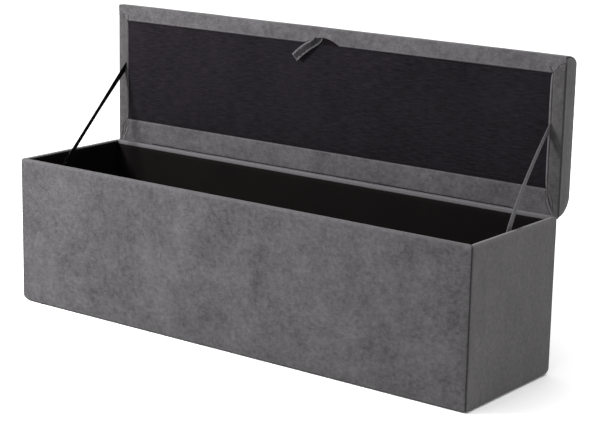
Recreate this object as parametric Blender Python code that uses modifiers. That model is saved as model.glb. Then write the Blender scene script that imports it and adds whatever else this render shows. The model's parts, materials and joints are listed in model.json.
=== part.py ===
"""Upholstered storage bench: a long fabric-covered box with a padded, hinged lid.

The lid stands open, as it rests against its two fabric stays. Metres, +Z up.
X runs along the bench, the front faces -Y, and the origin lies on the floor
under the middle of the bench with its lid open.
"""

from math import acos, asin, atan2, cos, hypot, pi, radians, sin, sqrt

import bmesh
import bpy
from mathutils import Matrix, Vector

# ---------------------------------------------------------------- dimensions
WIDTH = 1.500            # outside, along X
DEPTH = 0.402            # outside of the box, front to back
BOX_HEIGHT = 0.412       # covered wall, from its lower edge to the rim
LID_DEPTH = 0.402
LID_THICK = 0.054
GAP = 0.0003             # between touching pieces

GLIDE_H = 0.0029
GLIDE_R = 0.011
CLOTH_T = 0.0008         # black cloth under the box and inside it
COVER_T = 0.0012         # upholstery fabric
WADDING_T = 0.0015
BOARD_T = 0.008
CLEAT = 0.018            # square battens that carry the base
BASE_T = 0.006
RIM_TURN = 0.0035        # how far the fabric turns down inside the rim
RIM_TURN_REAR = 0.0100

AXIS_BACK = 0.0020       # hinge axis behind the rear face
AXIS_DROP = 0.0015       # hinge axis below the rim
LID_STANDOFF = 0.0030    # hinge axis to the lid's underside
LID_COVER_T = 0.0015
LID_BOARD_T = 0.012
LID_EDGE_FLAT = 0.014    # straight part of the lid's rear edge
REAR_ROUND_V = 0.045     # rounding of the seat over its rear edge
FRONT_ROUND = 0.022      # and over its front edge
BORDER_REAR = 0.063      # fabric border on the underside, at the hinge
BORDER_FRONT = 0.043
BORDER_SIDE = 0.036
PANEL_T = 0.0009

HINGE_LENGTH = 1.240
HINGE_KNUCKLES = 20
KNUCKLE_R = 0.0019
KNUCKLE_BORE_R = 0.00115
PIN_R = 0.0009
LEAF_T = 0.0010
LEAF_REACH = 0.0165      # from the axis to the leaf's far edge
LEAF_SCREW_AT = 0.0095
SCREWS_PER_LEAF = 5

STRAP_W = 0.022
STRAP_T = 0.0020
STRAP_V = 0.221          # where a stay leaves the lid, from the hinge edge
STRAP_FOOT_Y = -0.036    # its foot on the side wall, from the middle of the box
STRAP_FOOT_DROP = 0.037  # and below the rim
STRAP_ROOT = 0.0185      # from the lid's face to the first pivot
TAB_W = 0.024
TAB_T = 0.0016

# ------------------------------------------------------------ derived places
HALF = WIDTH / 2
OPEN_DEPTH = DEPTH + AXIS_BACK + LID_STANDOFF + LID_THICK
YF = -OPEN_DEPTH / 2                     # front face of the box
YR = YF + DEPTH                          # rear face
Z_CLOTH = GLIDE_H + GAP
ZB = Z_CLOTH + CLOTH_T + GAP             # lower edge of the covered walls
RIM = ZB + BOX_HEIGHT
AXIS_Y = YR + AXIS_BACK
AXIS_Z = RIM - AXIS_DROP
YL = AXIS_Y + LID_STANDOFF               # the open lid's underside
ZL = AXIS_Z + AXIS_BACK                  # the open lid's hinge edge

# distances in from the outer face of a wall
N_WADDING = COVER_T + GAP
N_BOARD = N_WADDING + WADDING_T + GAP
N_LINING = N_BOARD + BOARD_T + GAP
N_CLEAR = N_LINING + CLOTH_T + GAP

# ------------------------------------------------------------------ cleaning
for old in list(bpy.data.objects):
    bpy.data.objects.remove(old, do_unlink=True)

parts = bpy.data.collections.new("storage_bench")
cutters = bpy.data.collections.new("cutters")
bpy.context.scene.collection.children.link(parts)
bpy.context.scene.collection.children.link(cutters)


def material(name, colour, roughness, metallic=0.0):
    made = bpy.data.materials.new(name)
    made.use_nodes = True
    shader = made.node_tree.nodes["Principled BSDF"]
    shader.inputs["Base Color"].default_value = (*colour, 1.0)
    shader.inputs["Roughness"].default_value = roughness
    shader.inputs["Metallic"].default_value = metallic
    return made


GREY_SUEDE = ((0.16, 0.155, 0.162), 0.92, 0.0)
BLACK_CLOTH = ((0.012, 0.010, 0.010), 0.95, 0.0)
PANEL_CLOTH = ((0.024, 0.022, 0.026), 0.9, 0.0)
PLY = ((0.55, 0.40, 0.25), 0.7, 0.0)
PINE = ((0.66, 0.48, 0.29), 0.7, 0.0)
WHITE_FIBRE = ((0.85, 0.85, 0.83), 0.95, 0.0)
FOAM = ((0.80, 0.76, 0.60), 0.9, 0.0)
BLACK_STEEL = ((0.03, 0.03, 0.032), 0.45, 0.9)
ZINC = ((0.55, 0.55, 0.56), 0.35, 1.0)
BLACK_PLASTIC = ((0.02, 0.02, 0.02), 0.5, 0.0)


def finish(obj, look, parent=None):
    obj.data.materials.clear()
    obj.data.materials.append(material(obj.name, *look))
    if parent is not None:
        bpy.context.view_layer.update()
        obj.parent = parent
        obj.matrix_parent_inverse = parent.matrix_world.inverted()
    return obj


def empty(name, place, parent=None):
    made = bpy.data.objects.new(name, None)
    made.empty_display_size = 0.02
    parts.objects.link(made)
    made.location = place
    bpy.context.view_layer.update()
    if parent is not None:
        made.parent = parent
        made.matrix_parent_inverse = parent.matrix_world.inverted()
        bpy.context.view_layer.update()
    return made


def object_of(name, bm, place, where=None):
    """The bmesh, modelled about the origin, as an object standing at a place."""
    bmesh.ops.recalc_face_normals(bm, faces=bm.faces)
    mesh = bpy.data.meshes.new(name)
    bm.to_mesh(mesh)
    bm.free()
    made = bpy.data.objects.new(name, mesh)
    (where or parts).objects.link(made)
    made.location = place
    return made


def block(name, low, high, where=None):
    """A plain board or sheet between two corners."""
    low, high = Vector(low), Vector(high)
    bm = bmesh.new()
    bmesh.ops.create_cube(bm, size=1.0)
    bmesh.ops.scale(bm, vec=high - low, verts=bm.verts)
    return object_of(name, bm, (low + high) / 2, where)


AXES = {
    # local x and y are the outline's own two axes, local z is the length
    "X": Matrix(((0, 0, 1, 0), (1, 0, 0, 0), (0, 1, 0, 0), (0, 0, 0, 1))),  # outline in (y, z)
    "Y": Matrix(((0, 1, 0, 0), (0, 0, 1, 0), (1, 0, 0, 0), (0, 0, 0, 1))),  # outline in (z, x)
    "Z": Matrix.Identity(4),                                                # outline in (x, y)
}


def prism_mesh(loops, along, low, high):
    """A flat outline, with any holes, drawn out between two planes: a filled 2D curve made a mesh."""
    curve = bpy.data.curves.new("outline", "CURVE")
    curve.dimensions = "2D"
    curve.fill_mode = "BOTH"
    curve.extrude = (high - low) / 2
    for loop in loops:
        spline = curve.splines.new("POLY")
        spline.points.add(len(loop) - 1)
        for point, (a, b) in zip(spline.points, loop):
            point.co = (a, b, 0, 1)
        spline.use_cyclic_u = True
    guide = bpy.data.objects.new("outline", curve)
    cutters.objects.link(guide)
    bpy.context.view_layer.update()
    graph = bpy.context.evaluated_depsgraph_get()
    mesh = bpy.data.meshes.new_from_object(guide.evaluated_get(graph))
    bpy.data.objects.remove(guide, do_unlink=True)
    bm = bmesh.new()
    bm.from_mesh(mesh)
    bpy.data.meshes.remove(mesh)
    bmesh.ops.remove_doubles(bm, verts=bm.verts, dist=1e-6)
    bmesh.ops.translate(bm, vec=(0, 0, (low + high) / 2), verts=bm.verts)
    bmesh.ops.transform(bm, matrix=AXES[along], verts=bm.verts)
    return bm


def centred(name, bm, where=None):
    low = Vector([min(v.co[i] for v in bm.verts) for i in range(3)])
    high = Vector([max(v.co[i] for v in bm.verts) for i in range(3)])
    middle = (low + high) / 2
    bmesh.ops.translate(bm, vec=-middle, verts=bm.verts)
    return object_of(name, bm, middle, where)


def prism(name, loops, along, low, high, where=None):
    return centred(name, prism_mesh(loops, along, low, high), where)


def boolean(obj, other, operation="DIFFERENCE"):
    other.hide_render = True
    other.display_type = "WIRE"
    cut = obj.modifiers.new(operation.lower(), "BOOLEAN")
    cut.operation = operation
    cut.solver = "EXACT"
    cut.object = other
    return obj


def turned(name, profile, place, direction, steps=16):
    """A turned piece: its profile (radius, height) runs down the outer side; height is along the direction."""
    mesh = bpy.data.meshes.new(name)
    mesh.from_pydata(
        [(r, 0, z) for r, z in profile], [(i, i + 1) for i in range(len(profile) - 1)], []
    )
    made = bpy.data.objects.new(name, mesh)
    parts.objects.link(made)
    spin = made.modifiers.new("turn", "SCREW")
    spin.axis = "Z"
    spin.angle = 2 * pi
    spin.screw_offset = 0
    spin.steps = spin.render_steps = steps
    spin.use_merge_vertices = True
    spin.merge_threshold = 1e-6
    spin.use_smooth_shade = True
    made.location = place
    made.rotation_mode = "QUATERNION"
    made.rotation_quaternion = Vector((0, 0, 1)).rotation_difference(Vector(direction))
    return made


def ring(name, inner, outer, thick, place, direction, steps=24):
    """A washer: a square section turned about its axis."""
    mesh = bpy.data.meshes.new(name)
    mesh.from_pydata(
        [(inner, 0, thick), (outer, 0, thick), (outer, 0, 0), (inner, 0, 0)],
        [(0, 1), (1, 2), (2, 3), (3, 0)],
        [],
    )
    made = bpy.data.objects.new(name, mesh)
    parts.objects.link(made)
    spin = made.modifiers.new("turn", "SCREW")
    spin.axis = "Z"
    spin.angle = 2 * pi
    spin.screw_offset = 0
    spin.steps = spin.render_steps = steps
    spin.use_merge_vertices = True
    spin.merge_threshold = 1e-6
    made.location = place
    made.rotation_mode = "QUATERNION"
    made.rotation_quaternion = Vector((0, 0, 1)).rotation_difference(Vector(direction))
    return made


def rods(name, places, direction, radius, length, sides=12):
    """A cutter of equal rods, each starting at its place and running along the direction."""
    bm = bmesh.new()
    turn = Vector((0, 0, 1)).rotation_difference(Vector(direction)).to_matrix().to_4x4()
    for place in places:
        made = bmesh.ops.create_cone(
            bm, cap_ends=True, segments=sides, radius1=radius, radius2=radius, depth=length
        )
        shift = Matrix.Translation(Vector(place)) @ turn @ Matrix.Translation((0, 0, length / 2))
        bmesh.ops.transform(bm, matrix=shift, verts=made["verts"])
    return object_of(name, bm, (0, 0, 0), cutters)


# ----------------------------------------------------------------- the joints
lid_axis = empty("lid_axis", (0, AXIS_Y, AXIS_Z))

# ------------------------------------------------------------ the box's covers


def wall_profile(turn):
    """Fabric of one wall as (distance in, height): up the outside, over the rim, and under the box."""
    inner, back = N_LINING, N_LINING + COVER_T
    return [
        (0, ZB), (0, RIM), (back, RIM), (back, RIM - turn), (inner, RIM - turn),
        (inner, RIM - COVER_T), (COVER_T, RIM - COVER_T), (COVER_T, ZB + COVER_T),
        (inner, ZB + COVER_T), (inner, ZB),
    ]


def mitre(obj, corner, outward):
    """Cuts away what lies beyond the upright 45 degree plane through a corner of the box."""
    size = 0.12
    bm = bmesh.new()
    bmesh.ops.create_cube(bm, size=1.0)
    bmesh.ops.scale(bm, vec=(size, size, 0.6), verts=bm.verts)
    outward = Vector((*outward, 0)).normalized()
    bmesh.ops.rotate(bm, verts=bm.verts, matrix=Matrix.Rotation(atan2(outward.y, outward.x), 3, "Z"))
    place = Vector((*corner, 0.21)) + outward * (size / 2 - GAP / 2)
    return boolean(obj, object_of(obj.name + "_mitre", bm, place, cutters))


X_ENDS = (-HALF, HALF)
for side, face, inward, turn in (("front", YF, 1, RIM_TURN), ("rear", YR, -1, RIM_TURN_REAR)):
    loop = [(face + inward * n, z) for n, z in wall_profile(turn)]
    cover = prism(f"{side}_cover", [loop], "X", -HALF, HALF)
    for x in X_ENDS:
        # this wall keeps the part nearer to its own face
        mitre(cover, (x, face), (1 if x > 0 else -1, inward))
    finish(cover, GREY_SUEDE)
for side, face, inward in (("left", -HALF, 1), ("right", HALF, -1)):
    loop = [(z, face + inward * n) for n, z in wall_profile(RIM_TURN)]
    cover = prism(f"{side}_cover", [loop], "Y", YF, YR)
    for y in (YF, YR):
        mitre(cover, (face, y), (inward, -1 if y < 0 else 1))
    finish(cover, GREY_SUEDE)

# -------------------------------------------- wadding, boards, cleats, linings
XB = HALF - N_BOARD                       # outer face of the boards
XI = HALF - N_LINING                      # inner face of the boards, with its gap
Z_BOARD = ZB + COVER_T + GAP
Z_TOP = RIM - COVER_T - GAP
Z_BASE = Z_BOARD + CLEAT + GAP
Z_FLOOR = Z_BASE + BASE_T + GAP           # underside of the lining on the base

for side, face, inward in (("front", YF, 1), ("rear", YR, -1)):
    def at(n):
        return face + inward * n

    def between(a, b):
        return sorted((at(a), at(b)))

    low, high = between(N_WADDING, N_WADDING + WADDING_T)
    finish(block(f"{side}_wadding", (-HALF + N_WADDING, low, Z_BOARD), (HALF - N_WADDING, high, Z_TOP)), WHITE_FIBRE)
    low, high = between(N_BOARD, N_BOARD + BOARD_T)
    finish(block(f"{side}_board", (-XB, low, Z_BOARD), (XB, high, Z_TOP)), PLY)
    low, high = between(N_LINING, N_LINING + CLEAT)
    finish(block(f"{side}_cleat", (-XI, low, Z_BOARD), (XI, high, Z_BOARD + CLEAT)), PINE)
    low, high = between(N_LINING, N_LINING + CLOTH_T)
    turn = RIM_TURN if side == "front" else RIM_TURN_REAR
    finish(block(f"{side}_lining", (-XI, low, Z_FLOOR), (XI, high, RIM - turn - GAP)), BLACK_CLOTH)

for side, face, inward in (("left", -HALF, 1), ("right", HALF, -1)):
    def between(a, b):
        return sorted((face + inward * a, face + inward * b))

    low, high = between(N_WADDING, N_WADDING + WADDING_T)
    finish(block(f"{side}_wadding", (low, YF + N_BOARD, Z_BOARD), (high, YR - N_BOARD, Z_TOP)), WHITE_FIBRE)
    low, high = between(N_BOARD, N_BOARD + BOARD_T)
    finish(block(f"{side}_board", (low, YF + N_LINING, Z_BOARD), (high, YR - N_LINING, Z_TOP)), PLY)
    low, high = between(N_LINING, N_LINING + CLEAT)
    reach = N_LINING + CLEAT + GAP
    finish(block(f"{side}_cleat", (low, YF + reach, Z_BOARD), (high, YR - reach, Z_BOARD + CLEAT)), PINE)
    low, high = between(N_LINING, N_LINING + CLOTH_T)
    clear = N_LINING + COVER_T + GAP
    finish(block(f"{side}_lining", (low, YF + clear, Z_FLOOR), (high, YR - clear, RIM - RIM_TURN - GAP)), BLACK_CLOTH)

finish(block("base_board", (-XI, YF + N_LINING, Z_BASE), (XI, YR - N_LINING, Z_BASE + BASE_T)), PLY)
finish(
    block("base_lining", (-HALF + N_CLEAR, YF + N_CLEAR, Z_FLOOR), (HALF - N_CLEAR, YR - N_CLEAR, Z_FLOOR + CLOTH_T)),
    BLACK_CLOTH,
)
UNDER_INSET = 0.004
finish(
    block("underside_cloth", (-HALF + UNDER_INSET, YF + UNDER_INSET, Z_CLOTH), (HALF - UNDER_INSET, YR - UNDER_INSET, Z_CLOTH + CLOTH_T)),
    BLACK_CLOTH,
)

GLIDE_IN = 0.022
for row, y in (("front", YF + GLIDE_IN), ("rear", YR - GLIDE_IN)):
    for place, x in (("left", -HALF + GLIDE_IN), ("middle", 0.0), ("right", HALF - GLIDE_IN)):
        profile = [(0, GLIDE_H), (GLIDE_R, GLIDE_H), (GLIDE_R, 0.0008), (GLIDE_R - 0.0008, 0), (0, 0)]
        finish(turned(f"glide_{row}_{place}", profile, (x, y, 0), (0, 0, 1), 20), BLACK_PLASTIC)

# -------------------------------------------------------------------- the lid
# The lid's own axes: v runs from its hinge edge to its front edge, w from its underside to the seat.


def lid_yz(v, w):
    """A point of the lid's profile, standing open: v points up and w to the back."""
    return (YL + w, ZL + v)


def arc(centre_v, centre_w, radius_v, radius_w, start, end, steps):
    return [
        (
            centre_v + radius_v * cos(radians(start + (end - start) * i / steps)),
            centre_w + radius_w * sin(radians(start + (end - start) * i / steps)),
        )
        for i in range(steps + 1)
    ]


def seat_outline(inset, from_w=0.0):
    """The seat's profile from the hinge edge over the top to the front edge, an inset inside its surface."""
    top = LID_THICK
    rear = arc(
        REAR_ROUND_V, LID_EDGE_FLAT, REAR_ROUND_V - inset, top - LID_EDGE_FLAT - inset, 180, 90, 10
    )
    front = arc(
        LID_DEPTH - FRONT_ROUND, top - FRONT_ROUND, FRONT_ROUND - inset, FRONT_ROUND - inset, 90, 0, 8
    )
    return [(inset, from_w)] + rear + front + [(LID_DEPTH - inset, from_w)]


def lid_prism(name, outline, low, high, where=None):
    return prism(name, [[lid_yz(v, w) for v, w in outline]], "X", low, high, where)


END_T = LID_COVER_T
X_SEAT = HALF - END_T - GAP
B_REAR, B_FRONT = BORDER_REAR, LID_DEPTH - BORDER_FRONT

outer = seat_outline(0.0)
inner = seat_outline(LID_COVER_T, LID_COVER_T)
seat_cover = lid_prism(
    "seat_cover",
    outer + [(B_FRONT, 0), (B_FRONT, LID_COVER_T)] + inner[::-1] + [(B_REAR, LID_COVER_T), (B_REAR, 0)],
    -X_SEAT,
    X_SEAT,
)
finish(seat_cover, GREY_SUEDE, lid_axis)

for side, sign in (("left", -1), ("right", 1)):
    low, high = sorted((sign * HALF, sign * (HALF - END_T)))
    end = lid_prism(f"{side}_end_cover", outer, low, high)
    flap_low, flap_high = sorted((sign * (HALF - END_T / 2), sign * (HALF - BORDER_SIDE)))
    flap = lid_prism(
        f"{side}_flap",
        [(B_REAR + GAP, 0), (B_REAR + GAP, LID_COVER_T), (B_FRONT - GAP, LID_COVER_T), (B_FRONT - GAP, 0)],
        flap_low,
        flap_high,
        cutters,
    )
    boolean(end, flap, "UNION")
    finish(end, GREY_SUEDE, lid_axis)

W_PANEL = LID_COVER_T + 0.0001 - PANEL_T
W_BOARD = LID_COVER_T + 2 * GAP
V_IN = LID_COVER_T + GAP
X_PANEL = HALF - BORDER_SIDE - GAP
lid_panel = block(
    "lid_panel",
    (-X_PANEL, YL + W_PANEL, ZL + B_REAR + GAP),
    (X_PANEL, YL + W_PANEL + PANEL_T, ZL + B_FRONT - GAP),
)
finish(lid_panel, PANEL_CLOTH, lid_axis)
lid_board = block(
    "lid_board",
    (-X_SEAT + GAP, YL + W_BOARD, ZL + V_IN),
    (X_SEAT - GAP, YL + W_BOARD + LID_BOARD_T, ZL + LID_DEPTH - V_IN),
)
finish(lid_board, PLY, lid_axis)
W_FOAM = W_BOARD + LID_BOARD_T + GAP
inset = LID_COVER_T + GAP
foam = [(v, w) for v, w in seat_outline(inset) if w > W_FOAM]
seat_foam = lid_prism(
    "seat_foam", [(inset, W_FOAM)] + foam + [(LID_DEPTH - inset, W_FOAM)], -X_SEAT + GAP, X_SEAT - GAP
)
finish(seat_foam, FOAM, lid_axis)

# ---------------------------------------------------------------- the hinge
# A leaf in its own axes: p runs away from the pin, q points to the face it is screwed to.


def leaf_loops(tab_to):
    """A knuckle with the tab that joins it to its leaf, and its bore."""
    near, far = 0.0007, 0.0007 + LEAF_T
    start = atan2(near, sqrt(KNUCKLE_R**2 - near**2))
    end = atan2(far, sqrt(KNUCKLE_R**2 - far**2))
    steps = 14
    outline = [(tab_to, far), (tab_to, near)]
    for i in range(steps + 1):
        angle = start + (end - 2 * pi - start) * i / steps
        outline.append((KNUCKLE_R * cos(angle), KNUCKLE_R * sin(angle)))
    bore = [
        (KNUCKLE_BORE_R * cos(2 * pi * i / 12), KNUCKLE_BORE_R * sin(2 * pi * i / 12)) for i in range(12)
    ]
    return [outline, bore]


def box_leaf_yz(p, q):
    return (AXIS_Y - q, AXIS_Z - p)


def lid_leaf_yz(p, q):
    return (AXIS_Y + p, AXIS_Z + q)


knuckle = HINGE_LENGTH / HINGE_KNUCKLES
screw_xs = [
    -HINGE_LENGTH / 2 + HINGE_LENGTH * (i + 0.5) / SCREWS_PER_LEAF for i in range(SCREWS_PER_LEAF)
]


def hinge_leaf(name, to_yz, first):
    q = (0.0007, 0.0007 + LEAF_T)
    plate = [(0.0023, q[0]), (0.0023, q[1]), (LEAF_REACH, q[1]), (LEAF_REACH, q[0])]
    leaf = prism(name, [[to_yz(a, b) for a, b in plate]], "X", -HINGE_LENGTH / 2, HINGE_LENGTH / 2)
    rings = bmesh.new()
    for i in range(first, HINGE_KNUCKLES, 2):
        low = -HINGE_LENGTH / 2 + knuckle * i + GAP
        made = prism_mesh(
            [[to_yz(a, b) for a, b in loop] for loop in leaf_loops(0.0031)], "X", low, low + knuckle - 2 * GAP
        )
        piece = bpy.data.meshes.new("knuckle")
        made.to_mesh(piece)
        made.free()
        rings.from_mesh(piece)
        bpy.data.meshes.remove(piece)
    return boolean(leaf, object_of(name + "_knuckles", rings, (0, 0, 0), cutters), "UNION")


box_leaf = hinge_leaf("hinge_box_leaf", box_leaf_yz, 0)
lid_leaf = hinge_leaf("hinge_lid_leaf", lid_leaf_yz, 1)
pin_profile = [(0, HINGE_LENGTH / 2), (PIN_R, HINGE_LENGTH / 2), (PIN_R, -HINGE_LENGTH / 2), (0, -HINGE_LENGTH / 2)]
finish(turned("hinge_pin", pin_profile, (0, AXIS_Y, AXIS_Z), (1, 0, 0), 12), ZINC)

SHANK_R, HEAD_R, HEAD_H, SHANK_L = 0.0013, 0.0026, 0.0011, 0.0090
HOLE_R = SHANK_R + 0.0003
screw_profile = [
    (0, HEAD_H), (HEAD_R * 0.7, HEAD_H), (HEAD_R, HEAD_H * 0.35), (HEAD_R, 0),
    (SHANK_R, 0), (SHANK_R, -SHANK_L + SHANK_R), (0, -SHANK_L),
]
box_screws = [(x, YR + GAP + LEAF_T + GAP, AXIS_Z - LEAF_SCREW_AT) for x in screw_xs]
lid_screws = [(x, AXIS_Y + LEAF_SCREW_AT, ZL - GAP - LEAF_T - GAP) for x in screw_xs]
for i, place in enumerate(box_screws):
    finish(turned(f"box_hinge_screw_{i + 1}", screw_profile, place, (0, 1, 0), 12), BLACK_STEEL)
for i, place in enumerate(lid_screws):
    finish(turned(f"lid_hinge_screw_{i + 1}", screw_profile, place, (0, 0, -1), 12), BLACK_STEEL, lid_axis)

bore_box = rods("box_screw_holes", [(x, y + 0.003, z) for x, y, z in box_screws], (0, -1, 0), HOLE_R, SHANK_L + 0.0045)
bore_lid = rods("lid_screw_holes", [(x, y, z - 0.003) for x, y, z in lid_screws], (0, 0, 1), HOLE_R, SHANK_L + 0.0045)
for drilled in (box_leaf, bpy.data.objects["rear_cover"], bpy.data.objects["rear_wadding"], bpy.data.objects["rear_board"]):
    boolean(drilled, bore_box)
for drilled in (lid_leaf, seat_cover, lid_board):
    boolean(drilled, bore_lid)
finish(box_leaf, BLACK_STEEL)
finish(lid_leaf, BLACK_STEEL, lid_axis)

# ----------------------------------------------------------------- the stays
# Each fabric stay is one strip. It is modelled as a root on the lid, two flat links
# lapped side by side, and a foot whose screw and washer stand on the side wall.
MID_BOX_Y = (YF + YR) / 2
FOOT = Vector((0, MID_BOX_Y + STRAP_FOOT_Y, RIM - STRAP_FOOT_DROP))
ON_LID = Vector((0, YL, ZL + STRAP_V))
along = (FOOT - ON_LID).normalized()
TOP_PIVOT = ON_LID + along * STRAP_ROOT
LINK = (FOOT - TOP_PIVOT).length / 2
MID_PIVOT = TOP_PIVOT + along * LINK
X_ROOT, X_UPPER, X_LOWER, X_FOOT = 0.7112, 0.7144, 0.7236, 0.7302
STEP = STRAP_T + 0.0012        # the links lean, so their round ends need this much


def link_mesh(start, end, width, thick, round_start=True, round_end=True):
    """A flat strip with round ends between two points, its faces towards the side walls."""
    span = (end - start).length
    half = width / 2
    outline = []
    if round_start:
        outline += [(half * cos(a), half * sin(a)) for a in (pi / 2 + pi * i / 10 for i in range(11))]
    else:
        outline += [(0, half), (0, -half)]
    if round_end:
        outline += [(span + half * cos(a), half * sin(a)) for a in (-pi / 2 + pi * i / 10 for i in range(11))]
    else:
        outline += [(span, -half), (span, half)]
    bm = prism_mesh([outline], "Z", -thick / 2, thick / 2)
    length = (end - start).normalized()
    up = Vector((1, 0, 0))
    up = (up - length * up.dot(length)).normalized()
    across = up.cross(length)
    frame = Matrix((length, across, up)).transposed().to_4x4()
    bmesh.ops.transform(bm, matrix=frame, verts=bm.verts)
    return bm


for side, sign in (("left", -1), ("right", 1)):
    def spot(point, x):
        return Vector((sign * x, point.y, point.z))

    top = empty(f"{side}_stay_top", spot(TOP_PIVOT, X_UPPER), lid_axis)
    middle = empty(f"{side}_stay_middle", spot(MID_PIVOT, X_LOWER), top)

    start = ON_LID - Vector((0, GAP, 0))
    # the root's lid end is cut upright, parallel to the lid's face
    half = STRAP_W / 2
    root_outline = [
        (TOP_PIVOT.y + half * cos(a), TOP_PIVOT.z + half * sin(a))
        for a in (
            atan2(along.z, along.y) - pi / 2 + pi * i / 10 for i in range(11)
        )
    ]
    lean = Vector((0, -along.z, along.y))          # across the strip
    for edge in (half, -half):
        foot = TOP_PIVOT + lean * edge
        reach = (start.y - foot.y) / along.y
        point = foot + along * reach
        root_outline.append((point.y, point.z))
    root = prism(f"{side}_stay_root", [root_outline], "X", *sorted((sign * (X_ROOT - STRAP_T / 2), sign * (X_ROOT + STRAP_T / 2))))
    finish(root, GREY_SUEDE, lid_axis)

    upper_to = spot(MID_PIVOT, X_LOWER - STEP)
    upper = object_of(f"{side}_stay_upper", link_mesh(spot(TOP_PIVOT, X_UPPER), upper_to, STRAP_W, STRAP_T), spot(TOP_PIVOT, X_UPPER))
    finish(upper, GREY_SUEDE, top)
    lower = object_of(f"{side}_stay_lower", link_mesh(spot(MID_PIVOT, X_LOWER), spot(FOOT, X_FOOT), STRAP_W, STRAP_T), spot(MID_PIVOT, X_LOWER))
    finish(lower, GREY_SUEDE, middle)

    inner_face = HALF - N_LINING - CLOTH_T
    washer_t = 0.0012
    head = 0.0022
    x_washer = inner_face - GAP
    finish(
        ring(f"{side}_stay_washer", 0.0024, 0.0085, washer_t, spot(FOOT, x_washer), (-sign, 0, 0)),
        BLACK_STEEL,
    )
    x_seat = x_washer - washer_t - GAP
    stay_screw = [
        (0, head), (0.0034, head), (0.0045, head * 0.4), (0.0045, 0),
        (0.0018, 0), (0.0018, -0.0072), (0, -0.0088),
    ]
    finish(turned(f"{side}_stay_screw", stay_screw, spot(FOOT, x_seat), (-sign, 0, 0), 16), BLACK_STEEL)
    hole = rods(f"{side}_stay_hole", [spot(FOOT, x_seat - 0.004)], (sign, 0, 0), 0.0021, 0.0140)
    boolean(bpy.data.objects[f"{side}_lining"], hole)
    boolean(bpy.data.objects[f"{side}_board"], hole)

# --------------------------------------------------------------- the pull tab
# A flat ribbon that leaves the border's edge, stands a little off the panel and hangs to the left.
TAB_PATH = [  # (x, v, distance off the panel) of its middle line
    (0.0180, 0.3455, 0.0014), (0.0020, 0.3495, 0.0056), (-0.0180, 0.3510, 0.0108),
    (-0.0400, 0.3455, 0.0145), (-0.0620, 0.3340, 0.0160), (-0.0850, 0.3190, 0.0150),
]


def smooth(points, steps):
    """A Catmull-Rom curve through the points."""
    run = [2 * Vector(points[0]) - Vector(points[1])] + [Vector(p) for p in points]
    run.append(2 * run[-1] - run[-2])
    curve = []
    for a, b, c, d in zip(run, run[1:], run[2:], run[3:]):
        for i in range(steps):
            t = i / steps
            curve.append(
                0.5 * (2 * b + (c - a) * t + (2 * a - 5 * b + 4 * c - d) * t**2 + (3 * b - a - 3 * c + d) * t**3)
            )
    return curve + [run[-2]]


middle_line = smooth(TAB_PATH, 3)
bm = bmesh.new()
rows = []
for i, point in enumerate(middle_line):
    ahead = middle_line[min(i + 1, len(middle_line) - 1)] - middle_line[max(i - 1, 0)]
    across = Vector((-ahead.y, ahead.x, 0)).normalized() * TAB_W / 2
    rows.append(
        [
            bm.verts.new((p.x, YL + W_PANEL - p.z, ZL + p.y))
            for p in (point - across, point + across)
        ]
    )
for a, b in zip(rows, rows[1:]):
    bm.faces.new((a[0], b[0], b[1], a[1]))
root_place = Vector((middle_line[0].x, YL + W_PANEL - middle_line[0].z, ZL + middle_line[0].y))
bmesh.ops.translate(bm, vec=-root_place, verts=bm.verts)
tab = object_of("pull_tab", bm, root_place)
shell = tab.modifiers.new("thickness", "SOLIDIFY")
shell.thickness = TAB_T
shell.offset = 0
finish(tab, GREY_SUEDE, lid_axis)

for obj in parts.objects:
    if obj.type == "MESH":
        obj.data.shade_smooth()
        obj.data.set_sharp_from_angle(angle=radians(35))
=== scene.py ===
"""The storage bench's looks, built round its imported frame: upholstery, lining, stays, pull tab, materials, light and camera."""

import json

import bmesh
import bpy
import numpy as np
from mathutils import Matrix, Vector, noise


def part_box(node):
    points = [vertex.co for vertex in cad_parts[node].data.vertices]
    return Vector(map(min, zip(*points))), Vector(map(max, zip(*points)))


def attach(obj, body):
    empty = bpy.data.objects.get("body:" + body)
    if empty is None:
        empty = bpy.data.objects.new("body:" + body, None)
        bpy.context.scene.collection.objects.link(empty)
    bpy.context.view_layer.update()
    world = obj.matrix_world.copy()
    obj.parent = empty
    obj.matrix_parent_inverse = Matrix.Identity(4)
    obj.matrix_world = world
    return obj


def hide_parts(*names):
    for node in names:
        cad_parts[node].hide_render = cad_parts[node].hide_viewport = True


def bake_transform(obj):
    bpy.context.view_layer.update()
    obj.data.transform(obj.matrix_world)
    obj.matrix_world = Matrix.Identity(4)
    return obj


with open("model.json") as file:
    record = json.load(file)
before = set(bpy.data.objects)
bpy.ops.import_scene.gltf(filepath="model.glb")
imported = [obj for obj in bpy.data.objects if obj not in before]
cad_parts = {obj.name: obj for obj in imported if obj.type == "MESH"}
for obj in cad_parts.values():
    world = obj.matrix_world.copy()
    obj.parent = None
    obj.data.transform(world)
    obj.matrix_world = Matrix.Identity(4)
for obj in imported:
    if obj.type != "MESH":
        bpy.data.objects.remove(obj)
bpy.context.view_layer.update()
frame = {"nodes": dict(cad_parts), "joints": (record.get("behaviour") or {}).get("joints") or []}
NODES = frame["nodes"]
SCENE = bpy.context.scene

# ------------------------------------------------------------------ measures
# Everything hangs on the CAD nodes' own boxes. u is X, lid points are (x, v, w):
# v runs from the hinge edge to the front edge, w from the underside to the seat.


def span(node):
    low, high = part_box(node)
    return np.array(low), np.array(high)


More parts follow.
